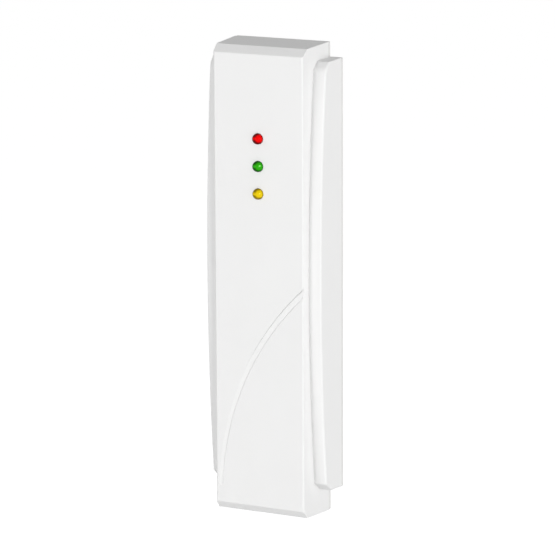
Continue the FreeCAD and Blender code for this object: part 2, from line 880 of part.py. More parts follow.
def regulator_legs():
    legs = leg_row(3, regulator_leg_pitch, regulator_width / 2, regulator_height / 2, 90)
    legs += leg_row(1, 1, regulator_width / 2, regulator_height / 2, 270, width=regulator_length / 2)
    return [on_back(leg, -side_part_offset, power_z) for leg in legs]


def diode():
    return on_back(chip_block(diode_length, diode_width, diode_height), side_part_offset, power_z)


def diode_straps():
    legs = leg_row(1, 1, diode_length / 2, diode_height / 2, 0, width=diode_strap_width)
    legs += leg_row(1, 1, diode_length / 2, diode_height / 2, 180, width=diode_strap_width)
    return [on_back(leg, side_part_offset, power_z) for leg in legs]


def transistor_places():
    return [(step * transistor_spacing, transistor_z) for step in (-1, 0, 1)]


def transistors():
    body = chip_block(transistor_length, transistor_width, transistor_height)
    return [on_back(body, x, z) for x, z in transistor_places()]


def transistor_legs():
    legs = leg_row(2, transistor_leg_pitch, transistor_width / 2, transistor_height / 2, 90)
    legs += leg_row(1, 1, transistor_width / 2, transistor_height / 2, 270)
    return [on_back(leg, x, z) for x, z in transistor_places() for leg in legs]


# Header for the cable's plug, open towards the cable inlet
header_z = board_bottom + header_rise
header_width = header_pin_count * header_pitch + 2 * header_end_wall
header_height = board_back - base_floor_thickness - header_to_base


def cable_header():
    body = centred_box(header_width, header_length, 0, header_height)
    room_width = header_width - 2 * header_wall
    room = centred_box(room_width, header_length, header_wall, header_height - header_wall)
    room.translate(Vector(0, header_back_wall, 0))
    key = centred_box(header_key_width, header_length, header_height - header_wall, header_height)
    key.translate(Vector(0, header_length / 2, 0))
    return on_back(body.cut(room).cut(key), 0, header_z)


def header_pins():
    # square pins: a contact inside the header, and a foot on the board behind it
    pins = []
    side = header_pin_width
    top = header_height / 2 + side / 2
    rear_face = -header_length / 2
    for index in range(header_pin_count):
        x = (index - (header_pin_count - 1) / 2) * header_pitch
        contact = centred_box(side, header_contact_length, top - side, top)
        contact.translate(Vector(x, rear_face + header_back_wall + header_contact_length / 2, 0))
        tail = centred_box(side, side, 0, top)
        tail.translate(Vector(x, rear_face - side / 2, 0))
        foot = centred_box(side, header_pin_stub, 0, side / 2)
        foot.translate(Vector(x, rear_face - side - header_pin_stub / 2, 0))
        pins.append(on_back(contact, 0, header_z))
        pins.append(on_back(tail.fuse(foot).removeSplitter(), 0, header_z))
    return pins


# Optical sensor that watches the base, so that it notices when the cover is lifted off
sensor_z = board_top - sensor_below_board_top


def tamper_sensor():
    body = chip_block(sensor_length, sensor_width, sensor_height)
    for sign in (-1, 1):
        centre = Vector(sign * sensor_window_spacing / 2, 0, sensor_height - sensor_window_depth)
        body = body.cut(Part.makeCylinder(sensor_window_diameter / 2, sensor_window_depth, centre))
    return on_back(body, 0, sensor_z)


def tamper_sensor_legs():
    legs = []
    for turn in (90, 270):
        legs += leg_row(2, sensor_window_spacing, sensor_width / 2, sensor_height / 2, turn)
    return [on_back(leg, 0, sensor_z) for leg in legs]


def chip_parts(height, sign):
    # small ceramic parts in a column beside the lamp leads
    body = centred_box(chip_part_length, chip_part_width, 0, height)
    parts = []
    for step in range(chip_row_count):
        z = led_heights[1] + (step - (chip_row_count - 1) / 2) * chip_row_pitch
        parts.append(on_back(body, sign * chip_row_offset, z))
    return parts


def save(name, shapes):
    if isinstance(shapes, list):
        shapes = shapes[0] if len(shapes) == 1 else Part.makeCompound(shapes)
    shapes.exportStep("parts/" + name + ".step")


def main():
    os.makedirs("parts", exist_ok=True)
    save("front_cover", front_cover())
    save("rear_base", rear_base())
    save("cover_screw", cover_screw())
    save("cable_grommet", cable_grommet())
    save("circuit_board", circuit_board())
    save("board_screws", board_screws())
    for name, z in zip(("red_led", "green_led", "yellow_led"), led_heights):
        save(name, led_body(z))
    save("led_leads", led_leads())
    save("led_spacer", led_spacer())
    save("coil_former", coil_former())
    save("antenna_coil", antenna_coil())
    save("coil_wires", coil_wires())
    save("controller_chip", controller_chip())
    save("controller_legs", controller_legs())
    save("radio_chip", radio_chip())
    save("radio_chip_legs", radio_chip_legs())
    save("crystal_base", crystal_base())
    save("crystal_can", crystal_can())
    save("capacitor_base", capacitor_base())
    save("capacitor_can", capacitor_can())
    save("buzzer", buzzer())
    save("buzzer_pins", buzzer_pins())
    save("regulator", regulator())
    save("regulator_legs", regulator_legs())
    save("diode", diode())
    save("diode_straps", diode_straps())
    save("transistors", transistors())
    save("transistor_legs", transistor_legs())
    save("cable_header", cable_header())
    save("header_pins", header_pins())
    save("tamper_sensor", tamper_sensor())
    save("tamper_sensor_legs", tamper_sensor_legs())
    save("chip_resistors", chip_parts(resistor_height, -1))
    save("chip_capacitors", chip_parts(chip_capacitor_height, 1))


main()
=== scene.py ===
import math

import bmesh
import bpy
from mathutils import Matrix, Vector


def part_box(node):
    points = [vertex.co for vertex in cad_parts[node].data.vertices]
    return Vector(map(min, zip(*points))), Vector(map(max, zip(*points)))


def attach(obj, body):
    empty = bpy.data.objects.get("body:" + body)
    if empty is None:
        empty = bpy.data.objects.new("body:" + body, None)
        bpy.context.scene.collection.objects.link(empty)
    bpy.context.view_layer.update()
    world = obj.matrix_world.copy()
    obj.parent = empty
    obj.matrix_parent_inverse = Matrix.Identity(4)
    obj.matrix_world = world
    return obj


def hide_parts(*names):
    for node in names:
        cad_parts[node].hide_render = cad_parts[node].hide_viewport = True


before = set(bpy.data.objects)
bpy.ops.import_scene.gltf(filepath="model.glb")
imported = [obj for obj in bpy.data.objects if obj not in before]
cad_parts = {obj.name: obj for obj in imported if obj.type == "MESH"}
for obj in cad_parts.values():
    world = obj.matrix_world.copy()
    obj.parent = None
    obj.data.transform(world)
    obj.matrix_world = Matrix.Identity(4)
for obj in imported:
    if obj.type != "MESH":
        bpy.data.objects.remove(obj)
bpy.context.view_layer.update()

scene = bpy.context.scene


# Viewpoint
# The reader is seen from its front right and a little above, through a long lens that keeps its
# upright edges nearly parallel.
view_azimuth = 27.40
view_elevation = 11.796
view_roll = math.radians(-0.26)
view_distance = 0.936113
view_shift_right = -0.001836
view_shift_up = -0.001019
lens_length = 221.707
lens_sensor = 36.0
nearest_seen = 0.02


def way_out(azimuth, elevation):
    """The direction from the reader to a place that many degrees round from its front and up."""
    azimuth, elevation = math.radians(azimuth), math.radians(elevation)
    return Vector((
        math.sin(azimuth) * math.cos(elevation),
        -math.cos(azimuth) * math.cos(elevation),
        math.sin(elevation),
    ))


view_back = way_out(view_azimuth, view_elevation)
level_right = Vector((0, 0, 1)).cross(view_back).normalized()
level_up = view_back.cross(level_right)
view_right = math.cos(view_roll) * level_right + math.sin(view_roll) * level_up
view_up = math.cos(view_roll) * level_up - math.sin(view_roll) * level_right
camera_data = bpy.data.cameras.new("camera")
camera_data.sensor_width = lens_sensor
camera_data.lens = lens_length
camera_data.clip_start = nearest_seen
camera = bpy.data.objects.new("camera", camera_data)
scene.collection.objects.link(camera)
stand = view_back * view_distance + view_right * view_shift_right + view_up * view_shift_up
turn = Matrix((view_right, view_up, view_back)).transposed().to_4x4()
camera.matrix_world = Matrix.Translation(stand) @ turn
scene.camera = camera
scene.view_settings.view_transform = "Standard"


# Studio
# The reader hangs clear of a wide pale floor in a white room. Four broad soft lamps light it: one a
# little left of its front, two off to its right and one low behind it. The room gives the rest evenly.
room_light = 0.39
floor_depth = -0.30
floor_half = 6.0
floor_grey = 0.60
floor_grey_seen = 0.25
floor_glow_seen = 0.90
lamp_distance = 1.4
soft_lamps = {
    "front_lamp": {"azimuth": -22.0, "elevation": 3.0, "side": 0.8, "power": 8.2},
    "near_right_lamp": {"azimuth": 55.0, "elevation": 3.0, "side": 0.8, "power": 9.0},
    "far_right_lamp": {"azimuth": 92.0, "elevation": 3.0, "side": 0.8, "power": 4.1},
    "rear_lamp": {"azimuth": 182.0, "elevation": -4.0, "side": 0.4, "power": 7.0},
}
square = ((-1, -1), (1, -1), (1, 1), (-1, 1))


def set_input(tree, target, value):
    """Links the value to the input where it comes from a socket, and otherwise sets it there."""
    if isinstance(value, bpy.types.NodeSocket):
        tree.links.new(value, target)
    else:
        target.default_value = value


def add_node(tree, kind, values=(), **settings):
    """Adds a node, sets its options, and then the inputs that the values name."""
    made = tree.nodes.new(kind)
    for option, choice in settings.items():
        setattr(made, option, choice)
    for socket, value in dict(values).items():
        set_input(tree, made.inputs[socket], value)
    return made


def sum_of(tree, first, second, operation="ADD"):
    """One plain sum on two values or sockets."""
    return add_node(tree, "ShaderNodeMath", {0: first, 1: second}, operation=operation).outputs[0]


def ranged(tree, value, low, high, start=0.0, end=1.0):
    """The value carried from start and end to low and high, and held there beyond them."""
    span = {"Value": value, "From Min": start, "From Max": end, "To Min": low, "To Max": high}
    return add_node(tree, "ShaderNodeMapRange", span).outputs[0]


def white_to_the_eye(tree):
    """1 for what the camera sees straight, mirrored or through something clear, and 0 for light."""
    path = add_node(tree, "ShaderNodeLightPath").outputs
    seen = path["Is Camera Ray"]
    for other in ("Is Glossy Ray", "Is Transmission Ray"):
        seen = sum_of(tree, seen, path[other], "MAXIMUM")
    return seen


room = bpy.data.worlds.new("white_room")
scene.world = room
room.use_nodes = True
room_tree = room.node_tree
room_tree.nodes.clear()
brightness = ranged(room_tree, white_to_the_eye(room_tree), room_light, 1.0)
backdrop = add_node(room_tree, "ShaderNodeBackground", {"Color": (1, 1, 1, 1), "Strength": brightness})
add_node(room_tree, "ShaderNodeOutputWorld", {"Surface": backdrop.outputs[0]})

floor_mesh = bpy.data.meshes.new("floor")
floor_corners = [(x * floor_half, y * floor_half, floor_depth) for x, y in square]
floor_mesh.from_pydata(floor_corners, [], [(0, 1, 2, 3)])
floor = bpy.data.objects.new("floor", floor_mesh)
scene.collection.objects.link(floor)
floor_paint = bpy.data.materials.new("pale_floor")
floor_paint.use_nodes = True
paint_tree = floor_paint.node_tree
paint_tree.nodes.clear()
seen_floor = white_to_the_eye(paint_tree)
grey = ranged(paint_tree, seen_floor, floor_grey, floor_grey_seen)
lit = add_node(paint_tree, "ShaderNodeBsdfDiffuse", {"Color": grey})
lift = sum_of(paint_tree, seen_floor, floor_glow_seen, "MULTIPLY")
glow = add_node(paint_tree, "ShaderNodeEmission", {"Strength": lift})
both = add_node(paint_tree, "ShaderNodeAddShader", {0: lit.outputs[0], 1: glow.outputs[0]})
add_node(paint_tree, "ShaderNodeOutputMaterial", {"Surface": both.outputs[0]})
floor_mesh.materials.append(floor_paint)

for name, facts in soft_lamps.items():
    lamp_data = bpy.data.lights.new(name, "AREA")
    lamp_data.shape = "SQUARE"
    lamp_data.size = facts["side"]
    lamp_data.energy = facts["power"]
    way = way_out(facts["azimuth"], facts["elevation"])
    lamp = bpy.data.objects.new(name, lamp_data)
    aim = way.to_track_quat("Z", "Y").to_matrix().to_4x4()
    lamp.matrix_world = Matrix.Translation(way * lamp_distance) @ aim
    scene.collection.objects.link(lamp)


# Rear base
# The flat moulding that is screwed to the wall: white ABS with a fine spark-eroded face and the
# round witness marks of the pins that pushed it out of its mould.
base_floor_face = -0.0020
base_mark_pitch = 0.022
base_mark_radius = 0.0021
pin_mark_depth = 0.00006
pin_mark_softness = 0.06
pin_mark_reach = (0.00005, 0.0001)
tone_drift = 0.02
noise_middle = (0.3, 0.7)
grain_in_tone = 0.35
grain_in_gloss = 0.6


def mixed_colour(tree, amount, low, high):
    """The low colour where the amount is 0, and the high colour where it is 1."""
    values = {0: amount, 6: low, 7: high}
    for index in (6, 7):
        if not isinstance(values[index], bpy.types.NodeSocket):
            values[index] = (*values[index], 1)
    return add_node(tree, "ShaderNodeMix", values, data_type="RGBA").outputs[2]


def raised(tree, height, depth, under=None):
    """A normal that follows a height pattern of that depth, over the normal beneath it."""
    values = {"Height": height, "Distance": depth}
    if under is not None:
        values["Normal"] = under
    return add_node(tree, "ShaderNodeBump", values).outputs[0]


def place_of(tree, x=0.0, y=0.0, z=0.0):
    """The three coordinates on the piece, measured from a point of it."""
    spot = add_node(tree, "ShaderNodeTexCoord").outputs["Object"]
    moved = add_node(tree, "ShaderNodeMapping", {"Vector": spot, "Location": (-x, -y, -z)}).outputs[0]
    return add_node(tree, "ShaderNodeSeparateXYZ", {0: moved}).outputs


def size_of(tree, value):
    """The value without its sign."""
    return sum_of(tree, value, 0, "ABSOLUTE")


def reach_of(tree, across, up):
    """How far a point with those two coordinates lies from their middle."""
    squares = [sum_of(tree, value, value, "MULTIPLY") for value in (across, up)]
    return sum_of(tree, sum_of(tree, *squares), 0.5, "POWER")


def round_spot(tree, across, up, radius, softness):
    """1 within the radius and 0 beyond it. Softness is the share of the radius that fades."""
    return ranged(tree, reach_of(tree, across, up), 1.0, 0.0, radius * (1 - softness), radius)


def feed(material, socket, value):
    """Links or sets one input of a material's shader."""
    shader = material.node_tree.nodes["Principled BSDF"]
    set_input(material.node_tree, shader.inputs[socket], value)


def fed(material, socket):
    """What feeds that input of a material's shader now."""
    return material.node_tree.nodes["Principled BSDF"].inputs[socket].links[0].from_socket


def press_over(material, pattern, depth):
    """Raises a pattern over the grain that the material already has."""
    feed(material, "Normal", raised(material.node_tree, pattern, depth, fed(material, "Normal")))


def build_moulded_skin():
    """Grain of a moulded face, with slow drifts of tone and gloss over it."""
    group = bpy.data.node_groups.new("moulded_skin", "ShaderNodeTree")
    for name in ("Grain Size", "Drift Size"):
        group.interface.new_socket(name, in_out="INPUT", socket_type="NodeSocketFloat")
    for name in ("Tone", "Gloss", "Height"):
        group.interface.new_socket(name, in_out="OUTPUT", socket_type="NodeSocketFloat")
    sizes = add_node(group, "NodeGroupInput").outputs
    place = add_node(group, "ShaderNodeTexCoord").outputs["Object"]
    patterns = []
    for name, detail in (("Grain Size", 2.0), ("Drift Size", 3.0)):
        rate = sum_of(group, 1.0, sizes[name], "DIVIDE")
        noise = add_node(group, "ShaderNodeTexNoise", {"Vector": place, "Scale": rate, "Detail": detail})
        patterns.append(ranged(group, noise.outputs[0], 0.0, 1.0, *noise_middle))
    grain, drift = patterns
    tone = add_node(group, "ShaderNodeMix", {0: grain_in_tone, 2: drift, 3: grain}).outputs[0]
    gloss = add_node(group, "ShaderNodeMix", {0: grain_in_gloss, 2: drift, 3: grain}).outputs[0]
    add_node(group, "NodeGroupOutput", {"Tone": tone, "Gloss": gloss, "Height": grain})
    return group


moulded_skin = build_moulded_skin()


def with_skin(name, skin_group, sizes, pale, dark, gloss, depth):
    """A material that takes its tone, its roughness and its grain from a skin of those sizes."""
    material = bpy.data.materials.new(name)
    material.use_nodes = True
    tree = material.node_tree
    skin = add_node(tree, "ShaderNodeGroup", sizes, node_tree=skin_group).outputs
    feed(material, "Base Color", mixed_colour(tree, skin["Tone"], dark, pale))
    feed(material, "Roughness", ranged(tree, skin["Gloss"], *gloss))
    feed(material, "Normal", raised(tree, skin["Height"], depth))
    return material


def moulded_plastic(name, pale, dark, gloss, grain_size, grain_depth, specular=0.3):
    """Moulded plastic with a fine grain. Gloss is its lowest and highest roughness."""
    sizes = {"Grain Size": grain_size, "Drift Size": tone_drift}
    material = with_skin(name, moulded_skin, sizes, pale, dark, gloss, grain_depth)
    feed(material, "Specular IOR Level", specular)
    return material


def add_pin_marks(material, face, pitch, radius):
    """Shallow round marks in rows on the inner face that lies at that depth."""
    tree = material.node_tree
    x, y, z = place_of(tree, y=face)
    folded = [sum_of(tree, value, pitch / 2, "PINGPONG") for value in (x, z)]
    mark = round_spot(tree, *folded, radius, pin_mark_softness)
    on_face = ranged(tree, size_of(tree, y), 1.0, 0.0, *pin_mark_reach)
    press_over(material, sum_of(tree, mark, on_face, "MULTIPLY"), pin_mark_depth)


def dress(material, *nodes):
    """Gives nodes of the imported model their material."""
    for node in nodes:
        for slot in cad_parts[node].material_slots:
            slot.material = material


base_plastic = moulded_plastic(
    "base_plastic", pale=(0.79, 0.79, 0.78), dark=(0.75, 0.75, 0.74),
    gloss=(0.5, 0.62), grain_size=0.00035, grain_depth=0.000012,
)
add_pin_marks(base_plastic, base_floor_face, base_mark_pitch, base_mark_radius)
dress(base_plastic, "rear_base")


# Cable grommet
# A black rubber ring that snaps into the cable inlet of the base. It is moulded, so its two
# flanges have soft rims, and its bore holds the cable that comes out of the wall.
grommet_radius = 0.0062
grommet_neck = 0.0044
grommet_bore = 0.0030
grommet_back = 0.0001
grommet_groove = (0.0009, 0.0020)
grommet_front = 0.0029
grommet_rim = 0.0003
grommet_height = -0.007
grommet_steps = 64


def soft_corners(points, radius, steps=4):
    """The closed outline through the points, each corner rounded by the radius."""
    outline = []
    for index, point in enumerate(points):
        here = Vector(point)
        before = (Vector(points[index - 1]) - here).normalized()
        after = (Vector(points[(index + 1) % len(points)]) - here).normalized()
        start, end = here + before * radius, here + after * radius
        for step in range(steps + 1):
            share = step / steps
            outline.append(tuple(start.lerp(here, share).lerp(here.lerp(end, share), share)))
    return outline


def join_rings(shape, rings, closed=False):
    """Faces from each ring of corners to the next, and from the last to the first where closed."""
    pairs = list(zip(rings, rings[1:]))
    if closed:
        pairs.append((rings[-1], rings[0]))
    for low, high in pairs:
        for step in range(len(low)):
            after = (step + 1) % len(low)
            corners = dict.fromkeys((low[step], low[after], high[after], high[step]))
            if len(corners) > 2:
                shape.faces.new(corners)


def mesh_of(shape, name, sharp=None):
    """The finished mesh of a shape: faces outwards, smooth, with edges sharp from that angle on."""
    bmesh.ops.recalc_face_normals(shape, faces=shape.faces)
    mesh = bpy.data.meshes.new(name)
    shape.to_mesh(mesh)
    shape.free()
    mesh.shade_smooth()
    if sharp is not None:
        mesh.set_sharp_from_angle(angle=math.radians(sharp))
    return mesh


def lathe(name, outline, steps, closed=False, sharp=None):
    """A round mesh about the local Z axis, from points that give radius and height."""
    shape = bmesh.new()
    turns = [2 * math.pi * step / steps for step in range(steps)]
    rings = []
    for radius, height in outline:
        if radius < 1e-7:
            rings.append([shape.verts.new((0, 0, height))] * steps)
            continue
        spots = [(radius * math.cos(angle), radius * math.sin(angle), height) for angle in turns]
        rings.append([shape.verts.new(spot) for spot in spots])
    join_rings(shape, rings, closed)
    return mesh_of(shape, name, sharp)


def facing(way, x=0.0, y=0.0, z=0.0):
    """Turns the local Z axis to the front, the back or the ground, and moves it to a place."""
    angle = {"front": 90, "back": -90, "down": 180}[way]
    return Matrix.Translation((x, y, z)) @ Matrix.Rotation(math.radians(angle), 4, "X")


def finish_piece(mesh, name, material, replaced=()):
    """Makes a piece of a finished mesh that rides on the body, and hides the imported nodes it replaces."""
    piece = bpy.data.objects.new(name, mesh)
    scene.collection.objects.link(piece)
    mesh.materials.clear()
    mesh.materials.append(material)
    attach(piece, "root")
    if replaced:
        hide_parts(*replaced)
    return piece


rubber = moulded_plastic(
    "black_rubber", pale=(0.035, 0.034, 0.033), dark=(0.014, 0.014, 0.015),
    gloss=(0.55, 0.8), grain_size=0.00025, grain_depth=0.00001, specular=0.4,
)
groove_back, groove_front = grommet_groove
ring_corners = [
    (grommet_bore, grommet_back),
    (grommet_radius, grommet_back),
    (grommet_radius, groove_back),
    (grommet_neck, groove_back),
    (grommet_neck, groove_front),
    (grommet_radius, groove_front),
    (grommet_radius, grommet_front),
    (grommet_bore, grommet_front),
]
ring_outline = soft_corners(ring_corners, grommet_rim)
grommet_mesh = lathe("cable_grommet_ring", ring_outline, grommet_steps, closed=True)
grommet_mesh.transform(facing("front", z=grommet_height))
finish_piece(grommet_mesh, "cable_grommet_ring", rubber, ["cable_grommet"])


# Circuit board
# Glass-fibre laminate under green solder mask. The mask is a shade deeper over bare laminate, the
# cut edge shows its pale fibre layers, and each screw hole has a ring of tinned copper.
laminate_light = (0.62, 0.56, 0.33)
laminate_dark = (0.42, 0.38, 0.20)
laminate_layers = 42000
ring_tin = (0.70, 0.69, 0.66)
board_front_face = -0.0080
board_back_face = -0.0068
board_hole_x = 0.00783
board_hole_heights = (0.05473, -0.04811)
hole_ring_radius = 0.0023
hole_ring_softness = 0.02
mask_edge = (0.00004, 0.00002)


def paint_over(material, amount, colour):
    """Lays a colour over the material's own where the amount is 1."""
    painted = mixed_colour(material.node_tree, amount, fed(material, "Base Color"), colour)
    feed(material, "Base Color", painted)


board_skin = moulded_plastic(
    "board_skin", pale=(0.018, 0.155, 0.062), dark=(0.012, 0.115, 0.045),
    gloss=(0.22, 0.36), grain_size=0.0009, grain_depth=0.000006, specular=0.5,
)
board_tree = board_skin.node_tree
x, y, z = place_of(board_tree, y=(board_front_face + board_back_face) / 2)
half_board = (board_back_face - board_front_face) / 2
on_face = ranged(board_tree, size_of(board_tree, y), 0.0, 1.0, *[half_board - edge for edge in mask_edge])
layers = sum_of(board_tree, sum_of(board_tree, y, laminate_layers, "MULTIPLY"), 0, "SINE")
fibres = ranged(board_tree, layers, 0.0, 1.0, -1.0, 1.0)
cut_edge = mixed_colour(board_tree, fibres, laminate_dark, laminate_light)
paint_over(board_skin, sum_of(board_tree, 1.0, on_face, "SUBTRACT"), cut_edge)
aside = sum_of(board_tree, size_of(board_tree, x), board_hole_x, "SUBTRACT")
rings = []
for height in board_hole_heights:
    above = sum_of(board_tree, z, height, "SUBTRACT")
    rings.append(round_spot(board_tree, aside, above, hole_ring_radius, hole_ring_softness))
ring = sum_of(board_tree, sum_of(board_tree, *rings, "MAXIMUM"), on_face, "MULTIPLY")
paint_over(board_skin, ring, ring_tin)
feed(board_skin, "Metallic", ring)
dress(board_skin, "circuit_board")


# Printed tracks
# Copper lines under the solder mask, so they stand a hair proud of the board and look lighter, with
# a round land at each end. They join the header, the controller and the parts round it, and their
# places are in millimetres across and up the board.
millimetre = 0.001
track_width = 0.00030
track_height = 0.00003
track_land = 0.00042
power_track_width = 0.0010
power_track_land = 0.0006
line_sink = 0.00001
land_steps = 16


def start_tree(name, **inputs):
    """A new geometry tree that puts out a mesh, and what its inputs give. Each input has its kind."""
    tree = bpy.data.node_groups.new(name, "GeometryNodeTree")
    for socket, kind in {**inputs, "Material": "Material"}.items():
        tree.interface.new_socket(socket, in_out="INPUT", socket_type="NodeSocket" + kind)
    tree.interface.new_socket("Mesh", in_out="OUTPUT", socket_type="NodeSocketGeometry")
    return tree, add_node(tree, "NodeGroupInput").outputs


def close_tree(tree, given, geometry):
    """Ends a geometry tree: its copies are made real and take the material."""
    real = add_node(tree, "GeometryNodeRealizeInstances", {"Geometry": geometry}).outputs[0]
    painted = add_node(tree, "GeometryNodeSetMaterial", {"Geometry": real, "Material": given["Material"]})
    add_node(tree, "NodeGroupOutput", {"Mesh": painted.outputs[0]})
    return tree


def build_line_tree():
    """Flat lines swept along the edges of a flat drawing, with a round land at every free end."""
    tree, given = start_tree("printed_lines", Drawing="Geometry", Width="Float", Height="Float", Land="Float")
    route = add_node(tree, "GeometryNodeMeshToCurve", {"Mesh": given["Drawing"]}).outputs[0]
    route = add_node(tree, "GeometryNodeSetCurveNormal", {"Curve": route}, mode="Z_UP").outputs[0]
    flat = {"Width": given["Width"], "Height": given["Height"]}
    section = add_node(tree, "GeometryNodeCurvePrimitiveQuadrilateral", flat).outputs[0]
    sweep = {"Curve": route, "Profile Curve": section, "Fill Caps": True}
    swept = add_node(tree, "GeometryNodeCurveToMesh", sweep).outputs[0]
    ends = add_node(tree, "GeometryNodeCurveEndpointSelection").outputs[0]
    disc = {"Vertices": land_steps, "Radius": given["Land"], "Depth": given["Height"]}
    land = add_node(tree, "GeometryNodeMeshCylinder", disc).outputs[0]
    at_ends = {"Points": route, "Selection": ends, "Instance": land}
    lands = add_node(tree, "GeometryNodeInstanceOnPoints", at_ends).outputs[0]
    joined = add_node(tree, "GeometryNodeJoinGeometry", {"Geometry": swept})
    tree.links.new(lands, joined.inputs["Geometry"])
    return close_tree(tree, given, joined.outputs[0])


line_tree = build_line_tree()


def grown(tree, drawing, **values):
    """The plain mesh that a geometry tree makes of a drawing, with the values for its inputs."""
    holder = bpy.data.objects.new("holder", drawing)
    scene.collection.objects.link(holder)
    growth = holder.modifiers.new("growth", "NODES")
    growth.node_group = tree
    for item in tree.interface.items_tree:
        if item.name in values:
            growth[item.identifier] = values[item.name]
    bpy.context.view_layer.update()
    depsgraph = bpy.context.evaluated_depsgraph_get()
    mesh = bpy.data.meshes.new_from_object(holder.evaluated_get(depsgraph))
    bpy.data.objects.remove(holder)
    return mesh


def printed_lines(name, routes, side, width, land, material):
    """Lines on one side of the board. A route that ends where it starts is a closed line."""
    corners, edges = [], []
    flip = -1 if side == "back" else 1
    for route in routes:
        start = len(corners)
        closed = route[0] == route[-1]
        points = route[:-1] if closed else route
        corners += [(x * millimetre, flip * z * millimetre, 0) for x, z in points]
        edges += [(start + step, start + step + 1) for step in range(len(points) - 1)]
        if closed:
            edges.append((start + len(points) - 1, start))
    drawing = bpy.data.meshes.new(name + "_drawing")
    drawing.from_pydata(corners, edges, [])
    mesh = grown(line_tree, drawing, Width=width, Height=track_height, Land=land, Material=material)
    face = board_back_face - line_sink if side == "back" else board_front_face + line_sink
    mesh.transform(facing(side, y=face))
    mesh.name = name
    finish_piece(mesh, name, material)


track_mask = moulded_plastic(
    "mask_over_copper", pale=(0.035, 0.26, 0.105), dark=(0.026, 0.21, 0.08),
    gloss=(0.2, 0.32), grain_size=0.0009, grain_depth=0.000004, specular=0.5,
)
controller_side, controller_top, controller_bottom = 4.5, 23.0, 14.3
controller_leg, controller_leg_step = 17.45, 0.8
chip_row, chip_row_step, chip_inner_end = 24.2, 3.2, 7.6
radio_leg_end = 41.5
transistor_leg_end = 12.8
header_end = -36.0
right_routes = []
for step in range(6):
    leg = controller_leg + controller_leg_step * step
    column = 7.0 - 0.3 * step
    chip = chip_row + chip_row_step * step
    right_routes.append([(controller_side, leg), (column, leg), (column, chip), (chip_inner_end, chip)])
for leg, radio_leg in ((2.8, 3.81), (2.0, 2.54)):
    bend = controller_top + radio_leg - leg
    right_routes.append([(leg, controller_top), (radio_leg, bend), (radio_leg, radio_leg_end)])
for pin, low, column, rest in (
    (5.25, -37.2, 8.2, [(8.2, 8.4), (6.0, 8.4), (6.0, 9.7)]),
    (3.75, -37.7, 8.6, [(8.6, 4.0)]),
    (2.25, -38.2, 9.0, [(9.0, 15.85), (controller_side, 15.85)]),
    (0.75, -38.7, 9.4, [(9.4, 16.65), (controller_side, 16.65)]),
):
    right_routes.append([(pin, header_end), (pin, low), (column, low)] + rest)
right_routes.append([(2.8, controller_bottom), (2.8, 13.7), (5.05, 13.4), (5.05, transistor_leg_end)])
right_routes.append([(0.4, controller_bottom), (0.95, 13.6), (0.95, transistor_leg_end)])
back_routes = [[(side * x, z) for x, z in route] for side in (-1, 1) for route in right_routes]
printed_lines("board_tracks_back", back_routes, "back", track_width, track_land, track_mask)

front_routes = []
for line in range(-4, 5):
    low_x, high_x, bend = 0.9 * line, 1.5 * line, abs(line)
    front_routes.append([(low_x, -30.5), (low_x, -9 - bend), (high_x, -7), (high_x, 6 - bend)])
for side in (-1, 1):
    front_routes.append([(side * 2.5, -44.3), (side * 2.5, -46.8), (side * 5.0, -49.0)])
for side in (-1, 1):
    for row in (28.0, 36.0):
        front_routes.append([(side * 5.5, row), (side * 3.4, row), (side * 3.4, row + 2.0)])
printed_lines("board_tracks_front", front_routes, "front", track_width, track_land, track_mask)

power_routes = [
    [(3.9, -43.0), (0.5, -43.0), (-1.8, -45.3), (-5.6, -45.3)],
    [(10.2, -43.0), (10.2, -38.0)],
]
printed_lines("board_power_tracks", power_routes, "back", power_track_width, power_track_land, track_mask)


# Printed outlines
# White ink lines, printed over the mask, that show where each part goes on the board. They carry no
# words or signs.
ink_width = 0.00018
white_ink = moulded_plastic(
    "white_ink", pale=(0.80, 0.80, 0.77), dark=(0.66, 0.67, 0.64),
    gloss=(0.5, 0.65), grain_size=0.0002, grain_depth=0.000004,
)
chip_heights = [chip_row + chip_row_step * step for step in range(6)]
back_places = [(side * 8.4, height, 1.35, 0.95) for side in (-1, 1) for height in chip_heights]
back_places += [(0, 44.2, 4.8, 1.7), (-7.0, -43.0, 2.7, 1.5), (0, 52.1, 2.2, 1.7), (0, -31.6, 7.9, 3.4)]
front_places = [(-7.0, 32.2, 3.0, 3.0), (7.0, 32.2, 3.0, 6.6), (0, 32.2, 2.8, 10.4)]
for side, places in (("back", back_places), ("front", front_places)):
    outlines = []
    for x, z, half_width, half_height in places:
        outlines.append([(x + a * half_width, z + b * half_height) for a, b in square + square[:1]])
    printed_lines("board_ink_" + side, outlines, side, ink_width, 0.0, white_ink)


# Chips and other black packages
# Epoxy moulded round the silicon, with a satin grain. The two larger chips have a small round dimple
# that marks their first leg, and the diode has a pale printed band at its cathode end.
resin_gloss = (0.42, 0.6)
dimple_inset = {"controller": 0.001, "radio": 0.0009}
dimple_radius = 0.00045
dimple_softness = 0.2
dimple_depth = 0.00008
dimple_gloss = (0.25, 0.5)
diode_band = 0.0006
diode_band_inset = 0.0009
diode_band_fade = 0.00002
diode_top = (0.0001, 0.00005)
diode_band_colour = (0.7, 0.7, 0.68)


def chip_resin(name, dimple=None):
    """Black epoxy, with a dimple at a place across and up where one is given."""
    material = moulded_plastic(
        name, pale=(0.042, 0.042, 0.045), dark=(0.022, 0.022, 0.024),
        gloss=resin_gloss, grain_size=0.00016, grain_depth=0.000006, specular=0.45,
    )
    if dimple:
        tree = material.node_tree
        x, y, z = place_of(tree, dimple[0], 0, dimple[1])
        spot = round_spot(tree, x, z, dimple_radius, dimple_softness)
        flat = sum_of(tree, 1.0, spot, "SUBTRACT")
        press_over(material, flat, dimple_depth)
        feed(material, "Roughness", ranged(tree, flat, *dimple_gloss))
    return material


